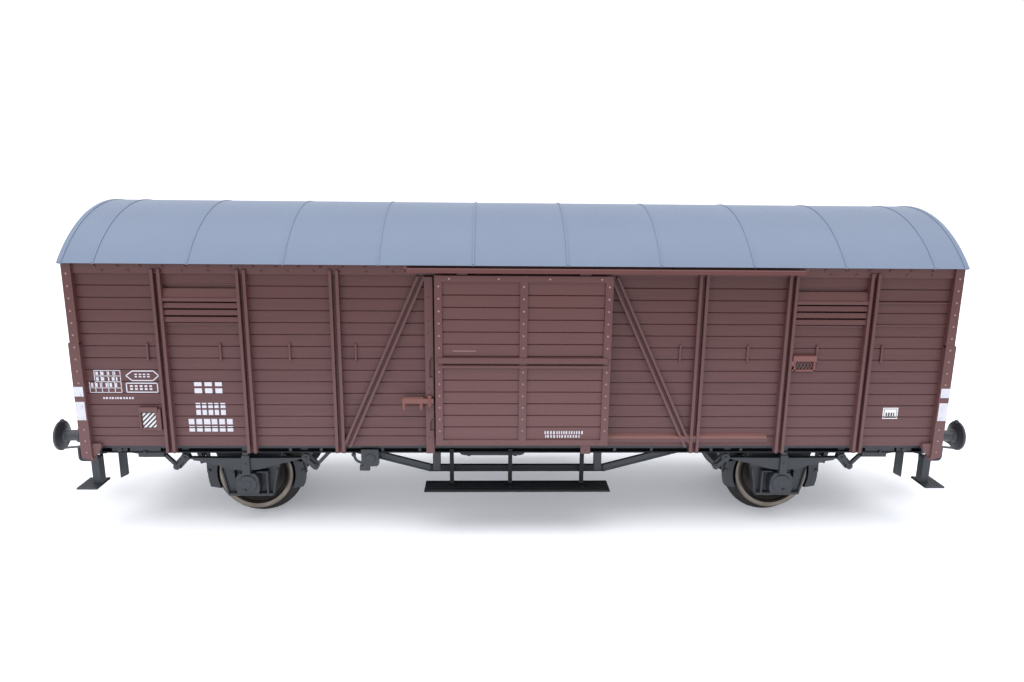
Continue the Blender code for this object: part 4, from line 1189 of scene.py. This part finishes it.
def bar_mesh(start, end, half, depth):
    """A flat bar between two (x, z) points."""
    (x0, z0), (x1, z1) = start, end
    length = math.hypot(x1 - x0, z1 - z0)
    nx, nz = -(z1 - z0) / length * half, (x1 - x0) / length * half
    outline = [(x0 + nx, z0 + nz), (x1 + nx, z1 + nz), (x1 - nx, z1 - nz), (x0 - nx, z0 - nz)]
    return prism_mesh(outline, depth, "Y")


def shoe_outline(x0, dx):
    """A brake shoe from the side: its worn face follows the tread, its back is a shorter arc."""
    inner, outer = 6.02, 7.45
    face = [(inner, math.radians(-24 + 44 * i / 8)) for i in range(9)]
    back = [(outer, math.radians(-17 + 32 * i / 5)) for i in reversed(range(6))]
    return [(x0 + dx * r * math.cos(a), AXLE_Z + r * math.sin(a)) for r, a in face + back]


def make_brake_gear(side, name):
    x0 = side * AXLE_X
    shape = Shape()
    for dx in (-1, 1):
        beam = x0 + dx * 8.1
        shape.prism(shoe_outline(x0, dx), (8.48, 9.75), "Y", 0.08)
        shape.box((beam - 0.7 * dx - 0.3, beam - 0.7 * dx + 0.3), (8.9, 9.4), (6.9, 13.05), 0.07)
        hanger = bar_mesh((beam - dx * 0.2, 8.8), (beam + dx * 0.9, 13.0), 0.32, (9.7, 10.2))
        shape.add(bevelled(hanger, 0.06))
        shape.rod((beam - 0.9 * dx, 9.0, 7.4), (beam - 0.9 * dx, 9.95, 7.4), 0.3, 14, 0.06)
    shape.both_sides()
    for dx in (-1, 1):
        beam = x0 + dx * 8.1
        shape.box((beam - 0.28, beam + 0.28), (-9.5, 9.5), (9.6, 10.2), 0.06)
    for y in (-2.3, 2.3):
        shape.box((x0 - 8.3, x0 + 8.3), (y - 0.28, y + 0.28), (9.62, 10.18), 0.06)
    piece(f"brake_rigging_{name}", shape, FRAME_BLACK, f"brake_gear_{name}")


def make_wheelset(side, name):
    x0 = side * AXLE_X
    body = f"wheelset_{name}"
    centre = (x0, 0, AXLE_Z)
    along = Matrix.Translation(centre) @ Matrix.Rotation(math.radians(90), 4, "X")
    tip = axle_high.y
    spindle = [
        (0, tip), (0.1, tip), (0.72, 11.0), (0.72, 10.6), (0.74, 10.5), (0.74, 3.0), (0.66, 2.6)
    ]
    spindle = spindle + [(r, -h) for r, h in reversed(spindle)]
    shape = Shape().add(lathe_mesh(spindle, 40), along)
    piece(f"axle_spindle_{name}", shape, AXLE_STEEL, f"axle_{name}", body, centre)
    back, front = 7.2, 10.0

    def section(from_back, from_front):
        """(radius, height) points: the heights are measured in from the wheel's two faces."""
        return [(r, back + d) for r, d in from_back] + [(r, front - d) for r, d in from_front]

    tyre = [
        (4.9, 1.0), (5.5, 1.0), (5.64, 0.15), (5.5, 0), (5.1, 0), (4.92, 0.1), (4.8, 0.35),
    ]
    tread_back = [
        (4.75, 0.3), (4.85, 0.08), (5.0, 0), (6.55, 0), (6.78, 0.08), (6.93, 0.28), (6.93, 0.45),
        (6.8, 0.62), (6.35, 0.9), (5.95, 1.08), (5.8, 1.3),
    ]
    tread_front = [(5.66, 0.2), (5.4, 0.15), (4.76, 0.4)]
    disc_back = [
        (1.25, 0.15), (2.0, 0.15), (2.15, 0.35), (2.25, 0.95), (4.2, 1.0), (4.7, 0.6), (4.8, 0.35),
    ]
    disc_front = [
        (4.8, 0.4), (4.7, 0.65), (4.2, 0.95), (2.35, 0.9), (2.15, 0.3), (2.0, 0.2), (1.25, 0.2),
    ]
    bush_back = [(0.8, -0.08), (1.1, -0.08), (1.2, 0.02)]
    bush_front = [(1.2, 0.2), (1.1, 0.12), (0.8, 0.12)]
    turned = (
        ("tyre", section([], tyre), 112, TYRE_METAL, "wheel_metal", "wheel"),
        ("flange", section(tread_back, tread_front), 112, TREAD_METAL, "wheel_metal", "wheel"),
        ("disc", section(disc_back, disc_front), 96, DISC_METAL, "wheel_metal", "wheel"),
        ("bush", section(bush_back, bush_front), 32, BUSH_PLASTIC, "bush_plastic", "bush"),
    )
    for face, mirror in zip(SIDES, (1, -1)):
        stand = along @ Matrix.Scale(mirror, 4, (0, 0, 1))
        for part, profile, sides, finish, slot, node in turned:
            shape = Shape().add(lathe_mesh(profile, sides, closed=True), stand)
            title = f"wheel_{name}_{face}_{part}"
            piece(title, shape, finish, f"{node}_{name}_{face}", body, centre)


def make_brake_cylinder():
    shape = Shape()
    start = Vector((3.0, 4.5, 10.2))
    profile = [
        (0, 0), (1.3, 0.0), (1.6, 0.3), (1.68, 0.6), (1.68, 4.6), (1.66, 5.8), (1.88, 5.85),
        (1.88, 6.25), (1.7, 6.5), (0.7, 6.6), (0.38, 6.7), (0.38, 11.9), (0.3, 12.0), (0, 12.0),
    ]
    shape.disc(profile, start, (1, 0, 0), 36)
    for i in range(8):
        a = math.radians(45 * i + 20)
        shape.rivet((9.25, 4.5 + 1.7 * math.cos(a), 10.2 + 1.7 * math.sin(a)), 0.14, "+X")
    for x in (4.5, 8.0):
        shape.box((x - 0.4, x + 0.4), (3.85, 5.15), (11.2, 13.04), 0.07)
        shape.band((x, 4.5, 10.2), 1.66, 1.78, 0.3, 32)
    piece("brake_cylinder_body", shape, FRAME_BLACK, "brake_cylinder")


def make_reservoir():
    shape = Shape()
    profile = [
        (0, 0), (0.9, 0.05), (1.6, 0.3), (2.05, 0.75), (2.18, 1.3), (2.18, 10.2), (2.05, 10.75),
        (1.6, 11.2), (0.9, 11.45), (0.5, 11.5), (0.45, 12.0), (0, 12.08),
    ]
    shape.disc(profile, (-9.5, -4.0, 10.0), (1, 0, 0), 40)
    for x in (-7.5, 0.0):
        shape.band((x, -4.0, 10.0), 2.14, 2.3, 0.25, 40)
        shape.box((x - 0.4, x + 0.4), (-5.1, -2.9), (11.3, 13.04), 0.07)
    piece("air_reservoir_tank", shape, FRAME_BLACK, "air_reservoir")


def make_changeover():
    """The box on the sole bar that sets the brake, with its bent handle."""
    low = limits("brake_changeover_near")[0]
    shape = Shape()
    box = [
        (-23.0, 13.02), (-23.0, 10.9), (-22.6, 10.4), (-20.7, 10.4), (-20.45, 10.7), (-20.45, 13.02)
    ]
    shape.prism(box, (14.65, 15.45), "Y", 0.1, 2)
    shape.box((-23.3, -21.8), (14.8, 15.35), (low.z, 10.5), 0.08)
    shape.rod((-21.7, 15.4, 11.6), (-21.7, 15.6, 11.6), 0.75, 24, 0.06)
    handle = rounded_path([(-22.7, 15.3, 10.8), (-23.7, 15.3, 11.2), (-24.05, 15.3, 12.0)], 0.4)
    shape.tube(handle, 0.2, 10)
    knob = [(0, 0), (0.3, 0.1), (0.34, 0.3), (0.3, 0.5), (0, 0.6)]
    shape.disc(knob, (-24.05, 15.3, 11.9), (-0.2, 0, 1), 14)
    pair("brake_changeover_{}_box", shape, FRAME_BLACK, "brake_changeover_{}")


def make_truss():
    low, high = limits("truss_near")
    y = (-high.y, -low.y)
    top, bottom = high.z, low.z
    post, corner, slope, depth = 12.0, 12.9, 0.27, 1.02
    reach = corner + (top - bottom) / slope
    lift = depth / slope
    shape = Shape()
    shape.box((-corner - 0.1, corner + 0.1), y, (bottom, bottom + depth), 0.08, 2)
    arms = Shape()
    for side in (-1, 1):
        post_x = sorted((side * (post - 0.55), side * (post + 0.6)))
        arms.box(post_x, (y[0] - 0.02, y[1] + 0.1), (bottom + 0.2, top), 0.08)
        arm = [(corner, bottom + 0.02), (corner, bottom + depth), (reach - lift, top), (reach, top)]
        arms.prism(sided(side, arm), (y[0] + 0.03, y[1] - 0.03), "Y", 0.07)
        lip = [(corner, bottom), (corner, bottom + 0.2), (reach - 0.8, top), (reach, top)]
        arms.prism(sided(side, lip), (y[0] - 0.1, y[1] + 0.08), "Y", 0.04)
    # the beam takes the near black and the arms the frame black: painted shade on the lower beam
    pair("truss_{}_beam", shape, SHADOW_BLACK, "truss_{}")
    pair("truss_{}_arms", arms, FRAME_BLACK, "truss_{}")


def make_door_step():
    """A long board under the door, on three bent hangers."""
    low, high = limits("door_step_near")
    out = -low.y
    shape = Shape()
    shape.box((low.x, high.x), (13.72, out), (low.z, 7.44), 0.05)
    for i in range(5):
        y = 14.1 + 0.72 * i
        shape.box((low.x + 0.3, high.x - 0.3), (y - 0.12, y + 0.12), (7.4, 7.49), 0.03)
    for x in (-9.75, -1.1, 9.55):
        hanger = [
            (14.68, 7.4), (14.68, 13.0), (15.15, 13.0), (15.15, 8.0), (15.35, 7.75), (16.7, 7.75),
            (16.7, 7.4),
        ]
        shape.prism(hanger, (x - 0.3, x + 0.3), "X", 0.05)
        shape.rivet((x, 15.15, 12.5), 0.16)
    # the board's near black is its own black plastic plus painted shade
    pair("door_step_{}_board", shape, SHADED_STEP_BLACK, "door_step_{}")


def make_corner_steps():
    for side, corner in CORNERS.items():
        shape = Shape()
        tread = sided(side, rectangle((61.32, 64.28), (12.2, 16.2)))
        shape.prism(tread, (7.12, 7.38), "Z", 0.05)
        shape.box(span(side, 61.32, 61.52), (12.3, 16.1), (7.2, 7.5), 0.04)
        for i in range(6):
            y = 12.75 + 0.58 * i
            shape.box(span(side, 61.7, 64.0), (y - 0.09, y + 0.09), (7.34, 7.43), 0.02)
        strap = sided(side, rectangle((61.32, 62.45), (7.3, 11.5)))
        shape.prism(strap, (13.42, 14.88), "Y", 0.08)
        pair("corner_tread_{}", shape, FRAME_BLACK, "corner_step_{}", sides=corner)


# ---------------------------------------------------------------- buffers and couplers


def make_buffer(side):
    low, high = limits(f"buffer_{CORNERS[side][0]}")
    foot = low.x if side > 0 else high.x
    tip = high.x if side > 0 else low.x
    length = abs(tip - foot)
    radius = (high.y - low.y) / 2
    z = 13.3
    y = 10.06
    shape = Shape()
    head = [
        (0, 0), (0.7, 0.03), (1.4, 0.13), (2.0, 0.3), (radius - 0.05, 0.45), (radius, 0.55),
        (radius, 0.72), (radius - 0.08, 0.82), (1.5, 1.0), (1.0, 1.15), (0.84, 1.4),
    ]
    sleeve = [
        (0.84, 4.5), (0.95, 4.4), (1.1, 4.3), (1.12, 3.9), (1.05, 3.8), (1.05, 2.2), (1.15, 2.1),
        (1.2, 1.9), (1.34, 1.0), (1.34, 0.2), (0, 0.2),
    ]
    profile = [(r, length - d) for r, d in head] + sleeve
    shape.disc(profile, (foot, y, z), (side, 0, 0), 48)
    shape.box(
        sorted((foot, foot + side * 0.33)), (y - 1.68, y + 1.68), (z - 1.58, z + 1.58), 0.12, 2
    )
    for dy in (-1.25, 1.25):
        for dz in (-1.15, 1.15):
            bolt = foot + side * 0.3
            head = [(0, 0), (0.27, 0), (0.27, 0.2), (0, 0.24)]
            shape.disc(head, (bolt, y + dy, z + dz), (side, 0, 0), 6)
    lug = tip - side * 0.85
    shape.box((lug - 0.22, lug + 0.22), (y - 0.28, y + 0.28), (z + 1.95, high.z - 0.02), 0.08)
    corner = CORNERS[side]
    pair("buffer_{}_turning", shape, BUFFER_BLACK, "buffer_{}", sides=corner)


COUPLER_Z = 9.1
COUPLER_PIVOT_X = -56.5
HINGE_X = -67.8


def make_coupler_sockets():
    """The pocket that swings under the deck. A coupler plugs into its open end."""
    low, high = limits("coupler_pocket_left")
    z0, pivot = COUPLER_Z, COUPLER_PIVOT_X
    shape = Shape()
    outside = box_mesh((low.x, pivot + 1.8), (-1.93, 1.93), (z0 - 1.28, z0 + 1.28))
    inside = box_mesh((-63, -57.9), (-1.6, 1.6), (z0 - 0.85, z0 + 0.85))
    shape.add(bevelled(carved(outside, inside), 0.09, 2))
    shape.rod((pivot, 0, z0 + 1.1), (pivot, 0, high.z), 0.78, 24, 0.08)
    for z in (z0 + 1.28, z0 - 1.28):
        shape.box((-61.5, -58.5), (-1.2, 1.2), (z - 0.08, z + 0.08), 0.03)
    shape.box((low.x, low.x + 0.35), (-1.95, 1.95), (z0 + 1.2, z0 + 1.36), 0.04)
    twins(
        "coupler_socket_{}", shape, FRAME_BLACK, "coupler_pocket_{}", "coupler_{}",
        ENDS,
    )


def make_coupler_hooks():
    """A shank, a bowed buffing plate, a hook under it and two ears that hold the loop."""
    z0 = COUPLER_Z
    shape = Shape()
    shape.box((-69.6, -58.15), (-1.45, 1.45), (z0 - 0.74, z0 + 0.74), 0.1, 2)
    shape.box((-66.3, -63.2), (-1.75, 1.75), (z0 - 0.62, z0 + 0.62), 0.12, 2)
    face = []
    for i in range(13):
        t = -1 + 2 * i / 12
        face.append((-70.08 + 0.35 * t * t, 3.68 * t))
    plate = face + [(-69.25, 3.68), (-69.25, -3.68)]
    shape.prism(plate, (z0 - 1.08, z0 + 1.08), "Z", 0.1, 2)
    shelf = rectangle((-69.4, -66.65), (-3.6, 3.6))
    shape.prism(shelf, (z0 - 0.58, z0 + 0.08), "Z", 0.08)
    hook = [
        (-70.0, z0 - 1.0), (-66.6, z0 - 0.5), (-66.6, z0 - 1.4), (-67.6, z0 - 2.2),
        (-69.0, z0 - 2.58), (-70.0, z0 - 2.58),
    ]
    shape.prism(hook, (-0.48, 0.48), "Y", 0.09, 2)
    for y in (-3.45, 3.45):
        ear = [
            (-68.6, z0 - 0.4), (-68.6, z0 + 0.6), (-68.3, z0 + 0.88), (-67.3, z0 + 0.88),
            (-67.0, z0 + 0.6), (-67.0, z0 - 0.4),
        ]
        hole = tube_mesh([(HINGE_X, y - 1, z0 + 0.4), (HINGE_X, y + 1, z0 + 0.4)], 0.27, 16)
        shape.add(bevelled(carved(prism_mesh(ear, (y - 0.24, y + 0.24), "Y"), hole), 0.04, 1, 50))
    twins(
        "coupler_hook_{}", shape, FRAME_BLACK, "coupler_head_{}", "coupler_{}", ENDS
    )


def make_coupler_loops():
    low, high = limits("coupler_loop_left")
    hinge_x, hinge_z, tip_z = HINGE_X, COUPLER_Z + 0.4, COUPLER_Z - 0.1
    half = high.y - 0.22
    tip_x = low.x + 0.2
    end_y = 2.9
    corners = [
        (hinge_x, -end_y, hinge_z), (hinge_x, -half, hinge_z), (tip_x, -half, tip_z),
        (tip_x, half, tip_z), (hinge_x, half, hinge_z), (hinge_x, end_y, hinge_z),
    ]
    shape = Shape().tube(rounded_path(corners, 0.6, 7), 0.2, 14)
    twins(
        "coupler_wire_{}", shape, COUPLER_WIRE, "coupler_loop_{}", "loop_{}", ENDS
    )


# ---------------------------------------------------------------- printed marks


class Print(Shape):
    """Thin ink on the side: each patch is broken where a plank groove runs under it."""

    def patch(self, x, z, out=WALL_OUT, grooves=GROOVES):
        cuts = [z[0]] + [g for g in sorted(grooves) if z[0] < g < z[1]] + [z[1]]
        for low, high in zip(cuts, cuts[1:]):
            low += 0.09 if low != z[0] else 0
            high -= 0.09 if high != z[1] else 0
            if high - low > 0.05:
                self.add(box_mesh(x, (out - 0.05, out + 0.02), (low, high)))

    def row(self, x, z, count, fill=0.7, seed=1, out=WALL_OUT, grooves=GROOVES):
        """A row of plain bars of uneven width: it stands for a line of lettering."""
        draw = random.Random(seed)
        weights = [draw.uniform(0.7, 1.3) for i in range(count)]
        total = sum(weights)
        start = x[0]
        for weight in weights:
            wide = (x[1] - x[0]) * weight / total
            self.patch((start, start + wide * fill), z, out, grooves)
            start += wide

    def blocks(self, x, z, count, fill, seed, line=0.16):
        """Two rows of plain blocks, one over the other: they stand for a line of lettering."""
        draw = random.Random(seed)
        pitch = (x[1] - x[0]) / count
        for i in range(count):
            low = x[0] + pitch * i
            high = low + pitch * fill * draw.uniform(0.85, 1.1)
            middle = (z[0] + z[1]) / 2
            self.patch((low, high), (z[0], middle - line / 2))
            self.patch((low, high), (middle + line / 2, z[1]))

    def ring(self, points, width, out=WALL_OUT):
        """A line drawn round an outline."""
        for start, end in zip(points, points[1:] + points[:1]):
            self.add(bar_mesh(start, end, width / 2, (out - 0.05, out + 0.021)))


def make_marks():
    ink = Print()
    arrowed = [
        (-55.53, 24.35), (-54.58, 25.02), (-51.66, 25.03), (-50.95, 24.35), (-51.8, 23.63),
        (-54.72, 23.63),
    ]
    ink.ring(arrowed, 0.15)
    ink.blocks((-54.3, -52.0), (24.1, 24.62), 4, 0.62, 3)
    ink.ring(rectangle((-55.58, -51.25), (21.92, 23.24)), 0.15)
    ink.blocks((-55.1, -51.7), (22.24, 22.94), 5, 0.62, 4)
    # a small table of three rows
    for z in (21.87, 22.54, 23.44, 24.29, 25.09):
        ink.patch((-59.9 if z > 23 else -60.7, -56.25), (z - 0.045, z + 0.045))
    for x in (-60.7, -59.9, -59.0, -58.1, -57.2, -56.3):
        ink.patch((x - 0.05, x + 0.05), (21.87, 25.09 if x > -60.2 else 23.44))
    ink.row((-59.7, -56.5), (24.44, 24.9), 4, 0.45, 5)
    ink.row((-59.7, -56.5), (23.6, 24.1), 5, 0.45, 6)
    ink.row((-60.5, -56.5), (22.68, 23.25), 6, 0.45, 7)
    ink.row((-59.0, -54.6), (20.9, 21.18), 11, 0.6, 8)
    # three large rows
    ink.blocks((-46.1, -41.7), (21.79, 23.54), 3, 0.74, 9, 0.32)
    ink.blocks((-46.1, -41.75), (18.54, 20.34), 5, 0.74, 10, 0.27)
    ink.blocks((-47.3, -40.8), (16.04, 17.94), 6, 0.76, 11, 0.27)
    # white corner patches
    for side in (-1, 1):
        outer, inner = side * 62.58, side * 61.3
        face = span(side, 62.5, 62.64)
        front = CORNER_OUT + 0.04
        top = 22.9
        for low, high in ((top - 1.4, top), (top - 4.9, top - 2.2)):
            ink.add(box_mesh(sorted((outer, inner)), (front - 0.05, front + 0.02), (low, high)))
            ink.add(box_mesh(face, (15.65, front - 0.05), (low, high)))
            for z in CORNER_STUD_ZS:
                if low < z < high:
                    ink.rivet((side * CORNER_STUD_X, front + 0.015, z), 0.21)
    pair("marks_{}", ink, INK_WHITE)
    plate = Print()
    plate.patch((53.5, 55.75), (18.06, 19.76))
    pair("mark_plate_{}", plate, PLATE_WHITE)
    dark = Print()
    plate_face = WALL_OUT + 0.012
    dark.ring(rectangle((53.7, 55.55), (18.25, 19.57)), 0.07, plate_face)
    dark.row((53.95, 55.35), (18.45, 19.0), 4, 0.6, 12, plate_face, [])
    pair("mark_plate_{}_ink", dark, INK_DARK)
    door = Print()
    door.row((3.73, 9.48), (16.2, 16.66), 15, 0.5, 13, DOOR_FACE, [])
    door.row((3.83, 8.93), (15.66, 16.06), 13, 0.5, 14, DOOR_FACE, [])
    pair("door_marks_{}", door, INK_WHITE, body="door_{}")


# ---------------------------------------------------------------- carried-over nodes


def finish_cad_nodes():
    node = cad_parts["ballast_weight"]
    node.data.materials.clear()
    node.data.materials.append(BALLAST_STEEL)


# ---------------------------------------------------------------- stage, light and camera


def make_stage():
    mesh = bpy.data.meshes.new("floor")
    reach = 4.0
    corners = [(x, y, 0) for x, y in rectangle((-reach, reach), (-reach, reach))]
    mesh.from_pydata(corners, [], [(0, 1, 2, 3)])
    floor = bpy.data.objects.new("floor", mesh)
    bpy.context.scene.collection.objects.link(floor)
    finish = Finish("studio_floor", 0.6, specular=0.2)
    finish.shader.inputs["Base Color"].default_value = (0.9, 0.91, 0.94, 1)
    finish.shader.inputs["Emission Color"].default_value = (0.9, 0.92, 1.0, 1)
    finish.shader.inputs["Emission Strength"].default_value = 0.22
    mesh.materials.append(finish.material)

    world = bpy.data.worlds.new("studio")
    world.use_nodes = True
    background = world.node_tree.nodes["Background"]
    background.inputs["Color"].default_value = (0.97, 0.98, 1.0, 1)
    background.inputs["Strength"].default_value = 1.05
    bpy.context.scene.world = world


def soft_light(name, location, target, size, power):
    light = bpy.data.lights.new(name, "AREA")
    light.shape = "RECTANGLE"
    light.size, light.size_y = size
    light.energy = power
    obj = bpy.data.objects.new(name, light)
    obj.location = location
    obj.rotation_euler = (Vector(target) - Vector(location)).to_track_quat("-Z", "Y").to_euler()
    bpy.context.scene.collection.objects.link(obj)


def make_lights():
    soft_light("overhead", (0.0, -0.08, 0.75), (0, 0, 0), (1.2, 0.9), 6.0)
    soft_light("front_left", (-0.6, -0.42, 0.35), (-0.02, 0, 0.02), (0.5, 0.4), 0.9)


def make_camera():
    place = Vector((-4.158, -121.71, 53.51)) * MM
    pitch, yaw, roll = math.radians(12.766), math.radians(-1.6866), math.radians(0.5967)
    flat = math.cos(pitch)
    ahead = Vector((-math.sin(yaw) * flat, math.cos(yaw) * flat, -math.sin(pitch)))
    level = Vector((math.cos(yaw), math.sin(yaw), 0))
    upright = level.cross(ahead)
    right = level * math.cos(roll) + upright * math.sin(roll)
    up = upright * math.cos(roll) - level * math.sin(roll)
    data = bpy.data.cameras.new("camera")
    data.lens = 26.88
    data.sensor_width = 36.0
    data.clip_start = 0.005
    data.clip_end = 50.0
    camera = bpy.data.objects.new("camera", data)
    turn = Matrix((right, up, -ahead)).transposed().to_4x4()
    camera.matrix_world = Matrix.Translation(place) @ turn
    bpy.context.scene.collection.objects.link(camera)
    bpy.context.scene.camera = camera
    bpy.context.scene.view_settings.view_transform = "Standard"


make_stage()
make_lights()
make_camera()

make_sides()
make_ends()
make_framing()
make_vents()
make_roof()
make_doors()
make_top_rail()
make_lower_rail()
make_latch()
make_card_frame()
make_paper_holder()
make_underframe()
make_floor()
make_axle_guard(-1)
make_axle_guard(1)
for wheel_side, wheel_name in zip((-1, 1), ENDS):
    make_brake_gear(wheel_side, wheel_name)
    make_wheelset(wheel_side, wheel_name)
make_brake_cylinder()
make_reservoir()
make_changeover()
make_truss()
make_door_step()
make_corner_steps()
make_buffer(-1)
make_buffer(1)
make_coupler_sockets()
make_coupler_hooks()
make_coupler_loops()
make_marks()
finish_cad_nodes()
